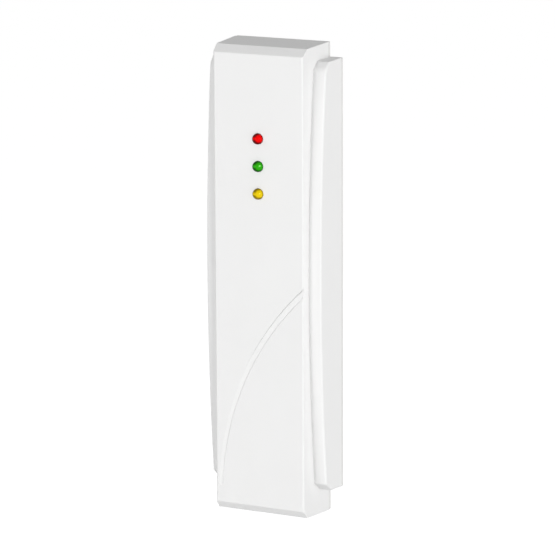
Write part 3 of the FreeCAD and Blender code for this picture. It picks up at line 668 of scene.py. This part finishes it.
low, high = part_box("controller_chip")
inset = dimple_inset["controller"]
dress(chip_resin("controller_resin", (low.x + inset, high.z - inset)), "controller_chip")
low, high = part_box("radio_chip")
inset = dimple_inset["radio"]
dress(chip_resin("radio_resin", (low.x + inset, low.z + inset)), "radio_chip")
dress(chip_resin("plain_resin"), "regulator", "transistors")

banded = chip_resin("banded_resin")
band_tree = banded.node_tree
low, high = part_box("diode")
x, y, z = place_of(band_tree, high.x - diode_band_inset, high.y)
band = ranged(band_tree, size_of(band_tree, x), 1.0, 0.0, diode_band / 2 - diode_band_fade, diode_band / 2)
on_top = ranged(band_tree, y, 0.0, 1.0, *[-depth for depth in diode_top])
paint_over(banded, sum_of(band_tree, band, on_top, "MULTIPLY"), diode_band_colour)
dress(banded, "diode")


# Legs, leads and pins
# Tinned copper alloy: bright where it was bent or cut, duller and faintly yellow along the flats.
# Every leg of a chip stands on a tinned pad with a small fillet of solder.
tin_pale = (0.76, 0.75, 0.72)
patch_rate = 700.0
patch_middle = (0.35, 0.65)
foot_reach = 0.00035
touching = 0.00001
transistor_row = 0.0105
solder_pad_length = 0.0011
solder_margin = 0.00009
solder_height = 0.00010
solder_rings = ((1.0, 0.0), (1.0, 0.3), (0.8, 0.8), (0.45, 1.0))
solder_steps = 20
solder_sharp = 50


def build_metal_skin():
    """Streaks and patches of a metal face. Stretch is how fast the streaks change along each axis."""
    group = bpy.data.node_groups.new("metal_skin", "ShaderNodeTree")
    group.interface.new_socket("Stretch", in_out="INPUT", socket_type="NodeSocketVector")
    for name in ("Tone", "Gloss", "Height"):
        group.interface.new_socket(name, in_out="OUTPUT", socket_type="NodeSocketFloat")
    stretch = add_node(group, "NodeGroupInput").outputs["Stretch"]
    place = add_node(group, "ShaderNodeTexCoord").outputs["Object"]
    drawn = add_node(group, "ShaderNodeVectorMath", {0: place, 1: stretch}, operation="MULTIPLY").outputs[0]
    patterns = []
    for spots, rate, detail, middle in (
        (drawn, 1.0, 3.0, noise_middle),
        (place, patch_rate, 2.0, patch_middle),
    ):
        noise = add_node(group, "ShaderNodeTexNoise", {"Vector": spots, "Scale": rate, "Detail": detail})
        patterns.append(ranged(group, noise.outputs[0], 0.0, 1.0, *middle))
    streaks, patches = patterns
    tone = add_node(group, "ShaderNodeMix", {0: 0.5, 2: streaks, 3: patches}).outputs[0]
    add_node(group, "NodeGroupOutput", {"Tone": tone, "Gloss": patches, "Height": streaks})
    return group


metal_skin = build_metal_skin()


def worked_metal(name, pale, dark, gloss, stretch, streak_depth):
    """Metal with fine streaks. Gloss is its lowest and highest roughness."""
    material = with_skin(name, metal_skin, {"Stretch": stretch}, pale, dark, gloss, streak_depth)
    feed(material, "Metallic", 1.0)
    return material


tinned = worked_metal(
    "tinned_metal", pale=tin_pale, dark=(0.56, 0.55, 0.51),
    gloss=(0.22, 0.38), stretch=(3000, 3000, 3000), streak_depth=0.000004,
)
dress(
    tinned, "controller_legs", "radio_chip_legs", "regulator_legs", "diode_straps", "transistor_legs",
    "tamper_sensor_legs", "header_pins", "led_leads", "buzzer_pins",
)


def solids_of(node):
    """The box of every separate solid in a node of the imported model, as low and high corners."""
    shape = bmesh.new()
    shape.from_mesh(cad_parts[node].data)
    bmesh.ops.remove_doubles(shape, verts=shape.verts, dist=1e-6)
    left = dict.fromkeys(shape.verts)
    boxes = []
    while left:
        front = [next(iter(left))]
        del left[front[0]]
        solid = []
        while front:
            vert = front.pop()
            solid.append(vert.co.copy())
            for edge in vert.link_edges:
                other = edge.other_vert(vert)
                if other in left:
                    del left[other]
                    front.append(other)
        low = Vector([min(co[axis] for co in solid) for axis in range(3)])
        high = Vector([max(co[axis] for co in solid) for axis in range(3)])
        boxes.append((low, high))
    shape.free()
    return boxes


def leg_feet(legs, body):
    """Where each leg of a package meets the board: across, up, its turn and its width."""
    low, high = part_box(body)
    feet = []
    for leg_low, leg_high in solids_of(legs):
        middle = (leg_low + leg_high) / 2
        if leg_low.x > high.x - touching:
            feet.append((leg_high.x - foot_reach, middle.z, 0, leg_high.z - leg_low.z))
        elif leg_high.x < low.x + touching:
            feet.append((leg_low.x + foot_reach, middle.z, 0, leg_high.z - leg_low.z))
        elif middle.z > (low.z + high.z) / 2:
            feet.append((middle.x, leg_high.z - foot_reach, 1, leg_high.x - leg_low.x))
        else:
            feet.append((middle.x, leg_low.z + foot_reach, 1, leg_high.x - leg_low.x))
    return feet


def solder_pad_mesh(feet):
    """Low cushions of solder round the feet, each with a flat rim and a domed middle."""
    shape = bmesh.new()
    for across, up, turned, width in feet:
        half_long = solder_pad_length / 2
        half_wide = width / 2 + solder_margin
        sides = (half_wide, half_long) if turned else (half_long, half_wide)
        rings = []
        for share, level in solder_rings:
            depth = board_back_face + level * solder_height
            ring = []
            for step in range(solder_steps):
                angle = 2 * math.pi * step / solder_steps
                bulge = [math.copysign(abs(f) ** 0.5, f) for f in (math.cos(angle), math.sin(angle))]
                x, z = across + bulge[0] * sides[0] * share, up + bulge[1] * sides[1] * share
                ring.append(shape.verts.new((x, depth, z)))
            rings.append(ring)
        join_rings(shape, rings)
        shape.faces.new(rings[0])
        shape.faces.new(rings[-1])
    return mesh_of(shape, "leg_solder", solder_sharp)


solder = worked_metal(
    "solder", pale=(0.80, 0.80, 0.79), dark=(0.62, 0.62, 0.60),
    gloss=(0.14, 0.3), stretch=(900, 900, 900), streak_depth=0.00002,
)
packages = {
    "controller_legs": "controller_chip",
    "radio_chip_legs": "radio_chip",
    "regulator_legs": "regulator",
    "diode_straps": "diode",
    "tamper_sensor_legs": "tamper_sensor",
}
all_feet = [foot for legs, body in packages.items() for foot in leg_feet(legs, body)]
for low, high in solids_of("transistor_legs"):
    foot_z = low.z + foot_reach if low.z < transistor_row else high.z - foot_reach
    all_feet.append(((low.x + high.x) / 2, foot_z, 1, high.x - low.x))
finish_piece(solder_pad_mesh(all_feet), "leg_solder", solder)


# Solder joints of the leads
# The leads of the lamps and of the sounder come through the board and are soldered on its back,
# each in a small bright cone.
joint_foot = 0.00078
joint_rim = 0.00003
joint_height = 0.0007
joint_collar = 0.00027
joint_sink = 0.00002
joint_hollow = 2.2
joint_rows = 6
joint_steps = 24
joint_turn = 0.7


def build_copy_tree():
    """A copy of the sample at each point of the drawing, each turned a step further than the last."""
    tree, given = start_tree("copies", Places="Geometry", Sample="Object", Turn="Float")
    shape = add_node(tree, "GeometryNodeObjectInfo", {"Object": given["Sample"]}).outputs["Geometry"]
    step = add_node(tree, "GeometryNodeInputIndex").outputs[0]
    angle = sum_of(tree, step, given["Turn"], "MULTIPLY")
    spin = add_node(tree, "ShaderNodeCombineXYZ", {"Z": angle}).outputs[0]
    copies = {"Points": given["Places"], "Instance": shape, "Rotation": spin}
    placed = add_node(tree, "GeometryNodeInstanceOnPoints", copies).outputs[0]
    return close_tree(tree, given, placed)


copy_tree = build_copy_tree()


def set_at_places(name, single, places, turn_step, material):
    """Copies of one upright mesh at flat places, each turned a little further than the last."""
    sample = bpy.data.objects.new(name + "_sample", single)
    scene.collection.objects.link(sample)
    drawing = bpy.data.meshes.new(name + "_drawing")
    drawing.from_pydata([(*place, 0) for place in places], [], [])
    mesh = grown(copy_tree, drawing, Sample=sample, Turn=turn_step, Material=material)
    bpy.data.objects.remove(sample)
    mesh.name = name
    return mesh


joint_outline = [(0, -joint_sink), (joint_foot, -joint_sink), (joint_foot, joint_rim)]
for step in range(1, joint_rows + 1):
    share = step / joint_rows
    radius = joint_collar + (joint_foot - joint_collar) * (1 - share) ** joint_hollow
    joint_outline.append((radius, joint_height * share))
joint_outline.append((0, joint_height + joint_sink))
lead_places = []
for node in ("led_leads", "buzzer_pins"):
    lead_places += [((low.x + high.x) / 2, -(low.z + high.z) / 2) for low, high in solids_of(node)]
joint = lathe("joint", joint_outline, joint_steps)
joints = set_at_places("lead_solder", joint, lead_places, joint_turn, solder)
joints.transform(facing("back", y=board_back_face))
finish_piece(joints, "lead_solder", solder)


# Chip resistors and chip capacitors
# Fired ceramic blocks with tinned ends. The resistors carry a black glass glaze on top, and the
# capacitors are bare tan ceramic.
chip_middle = 0.0084
chip_end = (0.00067, 0.00073)
chip_top = (0.00004, 0.00002)
chip_shade = 0.86
ceramic_roughness = 0.45


def ceramic_chip(node, middle, body, top, glaze):
    """Ceramic with tinned ends, and another colour and roughness on its top face."""
    material = moulded_plastic(
        node, pale=body, dark=[chip_shade * part for part in body],
        gloss=(0.35, 0.55), grain_size=0.0002, grain_depth=0.000006, specular=0.4,
    )
    tree = material.node_tree
    low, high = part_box(node)
    x, y, z = place_of(tree, middle, high.y)
    face = ranged(tree, y, 0.0, 1.0, *[-depth for depth in chip_top])
    ends = ranged(tree, size_of(tree, x), 0.0, 1.0, *chip_end)
    paint_over(material, face, top)
    paint_over(material, ends, tin_pale)
    feed(material, "Metallic", ends)
    feed(material, "Roughness", ranged(tree, face, ceramic_roughness, glaze))
    dress(material, node)


ceramic_chip("chip_resistors", -chip_middle, body=(0.74, 0.72, 0.68), top=(0.02, 0.02, 0.024), glaze=0.16)
ceramic_chip("chip_capacitors", chip_middle, body=(0.50, 0.37, 0.24), top=(0.52, 0.39, 0.26), glaze=0.4)


# Crystal, smoothing capacitor and sounder
# The crystal is in a drawn steel can. The capacitor is a round aluminium can with a dark segment on
# top that marks one of its leads. The sounder is black plastic with turned rings round its hole.
dark_segment = 0.0013
dark_segment_fade = 0.00003
dark_segment_colour = (0.02, 0.03, 0.07)
can_top = (0.00003, 0.00006)
ring_pitch = 0.0005
ring_depth = 0.000012
can_steel = worked_metal(
    "can_steel", pale=(0.74, 0.73, 0.70), dark=(0.60, 0.59, 0.56),
    gloss=(0.24, 0.36), stretch=(4000, 4000, 250), streak_depth=0.000003,
)
dress(can_steel, "crystal_can")
black_plastic = moulded_plastic(
    "black_plastic", pale=(0.030, 0.030, 0.032), dark=(0.018, 0.018, 0.02),
    gloss=(0.4, 0.58), grain_size=0.0003, grain_depth=0.000008,
)
dress(black_plastic, "crystal_base", "capacitor_base")

can_aluminium = worked_metal(
    "can_aluminium", pale=(0.86, 0.86, 0.86), dark=(0.74, 0.74, 0.75),
    gloss=(0.28, 0.42), stretch=(2500, 2500, 2500), streak_depth=0.000004,
)
can_tree = can_aluminium.node_tree
low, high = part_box("capacitor_can")
x, y, z = place_of(can_tree, (low.x + high.x) / 2 - dark_segment, low.y)
segment = ranged(can_tree, x, 1.0, 0.0, -dark_segment_fade, dark_segment_fade)
segment = sum_of(can_tree, segment, ranged(can_tree, y, 1.0, 0.0, *can_top), "MULTIPLY")
paint_over(can_aluminium, segment, dark_segment_colour)
feed(can_aluminium, "Metallic", ranged(can_tree, segment, 1.0, 0.0))
dress(can_aluminium, "capacitor_can")

sounder = moulded_plastic(
    "sounder_plastic", pale=(0.032, 0.032, 0.034), dark=(0.02, 0.02, 0.022),
    gloss=(0.36, 0.52), grain_size=0.0003, grain_depth=0.000006,
)
sounder_tree = sounder.node_tree
low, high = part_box("buzzer")
x, y, z = place_of(sounder_tree, z=(low.z + high.z) / 2)
reach = reach_of(sounder_tree, x, z)
rings = sum_of(sounder_tree, sum_of(sounder_tree, reach, 2 * math.pi / ring_pitch, "MULTIPLY"), 0, "SINE")
press_over(sounder, rings, ring_depth)
dress(sounder, "buzzer")


# Cable header and tamper sensor
# The header is cream nylon and takes the plug of the cable. The sensor is black epoxy and watches
# the base through two round windows of dark red filter resin.
window_spacing = 0.0009
window_radius = 0.00056
window_softness = 0.03
window_gloss = (0.5, 0.12)
window_colour = (0.09, 0.008, 0.012)
nylon = moulded_plastic(
    "cream_nylon", pale=(0.83, 0.80, 0.70), dark=(0.77, 0.73, 0.62),
    gloss=(0.4, 0.55), grain_size=0.0005, grain_depth=0.000008,
)
dress(nylon, "cable_header")
sensor_resin = chip_resin("sensor_resin")
sensor_tree = sensor_resin.node_tree
low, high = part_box("tamper_sensor")
x, y, z = place_of(sensor_tree, z=(low.z + high.z) / 2)
aside = sum_of(sensor_tree, size_of(sensor_tree, x), window_spacing, "SUBTRACT")
window = round_spot(sensor_tree, aside, z, window_radius, window_softness)
paint_over(sensor_resin, window, window_colour)
feed(sensor_resin, "Roughness", ranged(sensor_tree, window, *window_gloss))
dress(sensor_resin, "tamper_sensor")


# Antenna coil
# Enamelled copper wire wound in layers on a dark nylon former. The winding fills the channel of
# the former turn by turn, and its two ends come down to the board.
wire_diameter = 0.00028
wire_sides = 7
enamel_weight = 0.6
enamel_roughness = 0.15
turns_in_layer = 9
winding_layers = 5
loop_inset = 0.0009
loop_end_steps = 24
former_nylon = moulded_plastic(
    "former_nylon", pale=(0.050, 0.050, 0.054), dark=(0.032, 0.032, 0.035),
    gloss=(0.4, 0.56), grain_size=0.0004, grain_depth=0.00001,
)
dress(former_nylon, "coil_former")
copper = worked_metal(
    "enamelled_copper", pale=(0.72, 0.30, 0.12), dark=(0.52, 0.19, 0.07),
    gloss=(0.2, 0.34), stretch=(2500, 9000, 2500), streak_depth=0.000006,
)
feed(copper, "Coat Weight", enamel_weight)
feed(copper, "Coat Roughness", enamel_roughness)
dress(copper, "coil_wires")


def build_winding_tree():
    """Turns of wire side by side and in layers, swept round a drawn loop."""
    sizes = {"Wire": "Float", "RowStep": "Float", "LayerStep": "Float", "Turns": "Int", "Layers": "Int"}
    tree, given = start_tree("winding", Loop="Geometry", **sizes)
    spans = []
    for gap, count in (("LayerStep", "Layers"), ("RowStep", "Turns")):
        gaps = sum_of(tree, given[count], 1.0, "SUBTRACT")
        spans.append(sum_of(tree, gaps, given[gap], "MULTIPLY"))
    spread = {"Size X": spans[0], "Size Y": spans[1]}
    lines = {"Vertices X": given["Layers"], "Vertices Y": given["Turns"]}
    grid = add_node(tree, "GeometryNodeMeshGrid", {**spread, **lines}).outputs[0]
    wire = {"Resolution": wire_sides, "Radius": sum_of(tree, given["Wire"], 0.5, "MULTIPLY")}
    circle = add_node(tree, "GeometryNodeCurvePrimitiveCircle", wire).outputs[0]
    bundle = add_node(tree, "GeometryNodeInstanceOnPoints", {"Points": grid, "Instance": circle}).outputs[0]
    section = add_node(tree, "GeometryNodeRealizeInstances", {"Geometry": bundle}).outputs[0]
    loop = add_node(tree, "GeometryNodeMeshToCurve", {"Mesh": given["Loop"]}).outputs[0]
    loop = add_node(tree, "GeometryNodeSetCurveNormal", {"Curve": loop}, mode="Z_UP").outputs[0]
    swept = add_node(tree, "GeometryNodeCurveToMesh", {"Curve": loop, "Profile Curve": section}).outputs[0]
    smooth = add_node(tree, "GeometryNodeSetShadeSmooth", {0: swept}).outputs[0]
    return close_tree(tree, given, smooth)


coil_low, coil_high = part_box("antenna_coil")
loop_radius = coil_high.x - loop_inset
loop_points = []
for end, start_angle in ((coil_high.z - coil_high.x, 0), (coil_low.z + coil_high.x, 180)):
    for step in range(loop_end_steps + 1):
        angle = math.radians(start_angle + 180 * step / loop_end_steps)
        loop_points.append((loop_radius * math.cos(angle), end + loop_radius * math.sin(angle), 0))
loop_drawing = bpy.data.meshes.new("coil_loop")
loop_edges = [(step, (step + 1) % len(loop_points)) for step in range(len(loop_points))]
loop_drawing.from_pydata(loop_points, loop_edges, [])
winding_mesh = grown(
    build_winding_tree(),
    loop_drawing,
    Wire=wire_diameter,
    RowStep=(coil_high.y - coil_low.y - wire_diameter) / (turns_in_layer - 1),
    LayerStep=wire_diameter,
    Turns=turns_in_layer,
    Layers=winding_layers,
    Material=copper,
)
winding_mesh.transform(facing("front", y=(coil_low.y + coil_high.y) / 2))
finish_piece(winding_mesh, "antenna_winding", copper, ["antenna_coil"])


# Indicator lamps
# Three 3 mm lamps of tinted clear resin, cast round their lead frames. Their colour carries painted shade,
# darkest towards the far left and at the foot, with a lighter band left across the middle and a painted
# highlight near the right edge. The clear resin throws hardly any shadow, and a black spacer holds the
# lamps behind the cover.
lamp_radius = 0.0015
lamp_flange_radius = 0.0019
lamp_flange_height = 0.0010
lamp_rim = 0.00012
lamp_dome_rows = 16
lamp_steps = 48
lamp_sharp = 50
# Painted shade and light on the lenses: the colour darkens with distance from a lit spot right of the middle
# and towards the foot, is lighter in a band across, and has a painted highlight near the right edge.
lamp_painted_lit_spot = (0.00092, 0.00024)
lamp_painted_side_shade = (0.00092, 0.00140)
lamp_painted_rim_shade = (0.0017, 0.0022)
lamp_unshaded_band_height = 0.00022
lamp_unshaded_band_fade = (0.00012, 0.00055)
lamp_painted_foot_shade = (0.0010, 0.0017)
lamp_painted_highlight_spot = (0.00108, 0.00036)
lamp_painted_highlight_fade = (0.00027, 0.00008)
lamp_swirl = 0.0003
lamp_swirl_rate = 900.0
lamp_gloss = (0.10, 0.18)
lamp_specular = 0.05
spacer_plastic = moulded_plastic(
    "spacer_plastic", pale=(0.045, 0.045, 0.05), dark=(0.03, 0.03, 0.033),
    gloss=(0.42, 0.58), grain_size=0.0003, grain_depth=0.00001,
)
dress(spacer_plastic, "led_spacer")


def reach_from(tree, right, up):
    """How far the front view of a point lies from that place."""
    x, y, z = place_of(tree, right, 0, up)
    return reach_of(tree, x, z)


def lens_resin(name, bright, painted_shade_colour, painted_highlight_colour, tip, height):
    """Tinted resin of a lamp whose dome ends at the depth tip and is centred at that height."""
    material = bpy.data.materials.new(name)
    material.use_nodes = True
    tree = material.node_tree
    place = add_node(tree, "ShaderNodeTexCoord").outputs["Object"]
    swirl = add_node(tree, "ShaderNodeTexNoise", {"Vector": place, "Scale": lamp_swirl_rate, "Detail": 2.0})
    swirl = swirl.outputs[0]
    # Painted shade: darker with distance from the lit spot, darkest at the far left and towards the foot, but
    # lighter in a band across the dome.
    lit_right, lit_up = lamp_painted_lit_spot
    reach = reach_from(tree, lit_right, height + lit_up)
    reach = sum_of(tree, reach, sum_of(tree, swirl, lamp_swirl, "MULTIPLY"))
    x, y, z = place_of(tree, 0, tip, height + lamp_unshaded_band_height)
    off_unshaded_band = ranged(tree, size_of(tree, z), 0.0, 1.0, *lamp_unshaded_band_fade)
    painted_side_shade = sum_of(tree, ranged(tree, reach, 0.0, 1.0, *lamp_painted_side_shade), off_unshaded_band, "MULTIPLY")
    shade = sum_of(tree, painted_side_shade, ranged(tree, reach, 0.0, 1.0, *lamp_painted_rim_shade), "MAXIMUM")
    shade = sum_of(tree, shade, ranged(tree, y, 0.0, 1.0, *lamp_painted_foot_shade), "MAXIMUM")
    feed(material, "Base Color", mixed_colour(tree, shade, bright, painted_shade_colour))
    # Painted highlight: a pale spot near the right edge of the dome.
    highlight_right, highlight_up = lamp_painted_highlight_spot
    highlight_reach = reach_from(tree, highlight_right, height + highlight_up)
    paint_over(material, ranged(tree, highlight_reach, 0.0, 1.0, *lamp_painted_highlight_fade), painted_highlight_colour)
    feed(material, "Roughness", ranged(tree, swirl, *lamp_gloss, *noise_middle))
    feed(material, "Specular IOR Level", lamp_specular)
    return material


def lamp_outline(low, high):
    """Flange, barrel and dome of a lamp that stands from low to high."""
    rim_radius = lamp_flange_radius - lamp_rim
    shoulder = low + lamp_flange_height
    points = [(0, low), (rim_radius, low), (lamp_flange_radius, low + lamp_rim)]
    points += [(lamp_flange_radius, shoulder - lamp_rim), (rim_radius, shoulder), (lamp_radius, shoulder)]
    for step in range(lamp_dome_rows + 1):
        angle = math.radians(90 * step / lamp_dome_rows)
        points.append((lamp_radius * math.cos(angle), high - lamp_radius + lamp_radius * math.sin(angle)))
    return points


# For each lamp: its lit colour, the colour of its painted shade and the colour of its painted highlight.
lens_colours = {
    "red": {"bright": (0.86, 0.001, 0.001), "painted_shade_colour": (0.13, 0.0, 0.0), "painted_highlight_colour": (0.95, 0.006, 0.008)},
    "green": {"bright": (0.026, 0.40, 0.004), "painted_shade_colour": (0.008, 0.10, 0.003), "painted_highlight_colour": (0.30, 0.92, 0.20)},
    "yellow": {"bright": (0.80, 0.57, 0.003), "painted_shade_colour": (0.26, 0.18, 0.002), "painted_highlight_colour": (0.95, 0.80, 0.03)},
}
for colour, tones in lens_colours.items():
    node, slot = colour + "_led", colour + "_lens"
    low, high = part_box(node)
    middle = (low.z + high.z) / 2
    lens_mesh = lathe(node + "_lens", lamp_outline(-high.y, -low.y), lamp_steps, sharp=lamp_sharp)
    lens_mesh.transform(facing("front", z=middle))
    resin = lens_resin(slot + "_resin", **tones, tip=low.y, height=middle)
    lens = finish_piece(lens_mesh, node + "_lens", resin, [node])
    lens.visible_shadow = False


# Screws
# Zinc plated steel with rolled threads and a pressed cross recess. Four short ones hold the board
# to the bosses of the cover, and one longer one goes up through the cover into the base.
cover_screw_head = 0.0018
cover_screw_sizes = {"head_radius": 0.0027, "radius": 0.0015, "depth": 0.00026, "pitch": 0.0005}
board_screw_sizes = {"head_radius": 0.0019, "radius": 0.00085, "depth": 0.0002, "pitch": 0.0006}
board_screw_turn = 0.9
thread_steps = 40
thread_slope = 1.5
tip_thread = 0.25
rows_in_pitch = 8
tip_length = 2.2
tip_share = 0.55
head_steps = 64
head_rows = 8
head_wall = 0.35
head_flat = 0.62
cross_length = 0.62
cross_width = 0.13
cross_depth = 0.55
cross_floor = 0.62
cross_mouth = 1.25
cross_taper = 0.2
screw_sharp = 38


def threaded_shank(shape, radius, depth, pitch, length):
    """Adds a shank that hangs down from the level z = 0, with a helical thread and a narrower tip."""
    tip = tip_length * radius
    rows = max(rows_in_pitch, int(length / pitch * rows_in_pitch))
    rings = []
    for row in range(rows + 1):
        z = -length * row / rows
        above_tip = (length + z) / tip
        taper = min(1.0, above_tip * (1 - tip_share) + tip_share)
        fade = min(1.0, -z / pitch) * min(1.0, above_tip + tip_thread)
        ring = []
        for step in range(thread_steps):
            share = step / thread_steps
            wave = abs(((z / pitch - share) % 1.0) * 2 - 1)
            ridge = depth * max(0.0, 1 - thread_slope * wave)
            reach = (radius - depth * fade + ridge * fade) * taper
            angle = 2 * math.pi * share
            ring.append(shape.verts.new((reach * math.cos(angle), reach * math.sin(angle), z)))
        rings.append(ring)
    join_rings(shape, rings)
    shape.faces.new(rings[0])
    shape.faces.new(rings[-1])


def cross_tool(name, half_length, half_width, depth, top):
    """The pressing tool that leaves the cross recess, narrower at its floor than at the top."""
    shape = bmesh.new()
    for turned in (False, True):
        levels = []
        for z, share in ((top - depth, cross_floor), (top + depth, cross_mouth)):
            corners = []
            for a, b in square:
                x, y = a * half_length * share, b * half_width * (1 - cross_taper + cross_taper * share)
                corners.append(shape.verts.new((-y, x, z) if turned else (x, y, z)))
            levels.append(corners)
        join_rings(shape, levels)
        shape.faces.new(levels[0])
        shape.faces.new(levels[1])
    return mesh_of(shape, name)


def screw_mesh(name, head_height, length, head_radius, radius, depth, pitch):
    """A pan-head screw with its head above the level z = 0 and its shank below it."""
    wall = head_wall * head_height
    outline = [(0, 0), (head_radius, 0), (head_radius, wall)]
    for step in range(1, head_rows + 1):
        angle = math.radians(90 * step / head_rows)
        edge = head_radius * (head_flat + (1 - head_flat) * math.cos(angle))
        outline.append((edge, wall + (head_height - wall) * math.sin(angle)))
    outline.append((0, head_height))
    cross = (cross_length * head_radius, cross_width * head_radius, cross_depth * head_height, head_height)
    head = bpy.data.objects.new(name + "_head", lathe(name + "_head", outline, head_steps))
    tool = bpy.data.objects.new(name + "_tool", cross_tool(name + "_tool", *cross))
    for made in (head, tool):
        scene.collection.objects.link(made)
    press = head.modifiers.new("press", "BOOLEAN")
    press.operation = "DIFFERENCE"
    press.solver = "EXACT"
    press.use_self = True
    press.object = tool
    bpy.context.view_layer.update()
    pressed = bpy.data.meshes.new_from_object(head.evaluated_get(bpy.context.evaluated_depsgraph_get()))
    for made in (head, tool):
        bpy.data.objects.remove(made)
    shape = bmesh.new()
    shape.from_mesh(pressed)
    threaded_shank(shape, radius, depth, pitch, length)
    return mesh_of(shape, name, screw_sharp)


zinc = worked_metal(
    "zinc_plate", pale=(0.70, 0.71, 0.72), dark=(0.54, 0.55, 0.55),
    gloss=(0.24, 0.4), stretch=(1500, 1500, 1500), streak_depth=0.000005,
)
low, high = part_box("cover_screw")
seat = low.z + cover_screw_head
cover_screw = screw_mesh("cover_screw_threaded", cover_screw_head, high.z - seat, **cover_screw_sizes)
cover_screw.transform(facing("down", y=(low.y + high.y) / 2, z=seat))
finish_piece(cover_screw, "cover_screw_threaded", zinc, ["cover_screw"])

low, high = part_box("board_screws")
head, shank = high.y - board_back_face, board_back_face - low.y
board_screw = screw_mesh("board_screw", head, shank, **board_screw_sizes)
screw_places = [(side * board_hole_x, -height) for side in (-1, 1) for height in board_hole_heights]
board_screws = set_at_places("board_screws_threaded", board_screw, screw_places, board_screw_turn, zinc)
board_screws.transform(facing("back", y=board_back_face))
board_screws.shade_smooth()
board_screws.set_sharp_from_angle(angle=math.radians(screw_sharp))
finish_piece(board_screws, "board_screws_threaded", zinc, ["board_screws"])


# Front cover
# One white ABS moulding: the column with its bevelled ends, the two bowed wings, the curved line
# and the lamp holes. Its face is finely matt and clean, with pin marks on the inside.
cover_inner_face = -0.0130
cover_mark_pitch = 0.018
cover_mark_radius = 0.0016

cover_plastic = moulded_plastic(
    "cover_plastic", pale=(0.862, 0.862, 0.859), dark=(0.842, 0.842, 0.839),
    gloss=(0.52, 0.62), grain_size=0.00028, grain_depth=0.000006, specular=0.2,
)
add_pin_marks(cover_plastic, cover_inner_face, cover_mark_pitch, cover_mark_radius)
dress(cover_plastic, "front_cover")
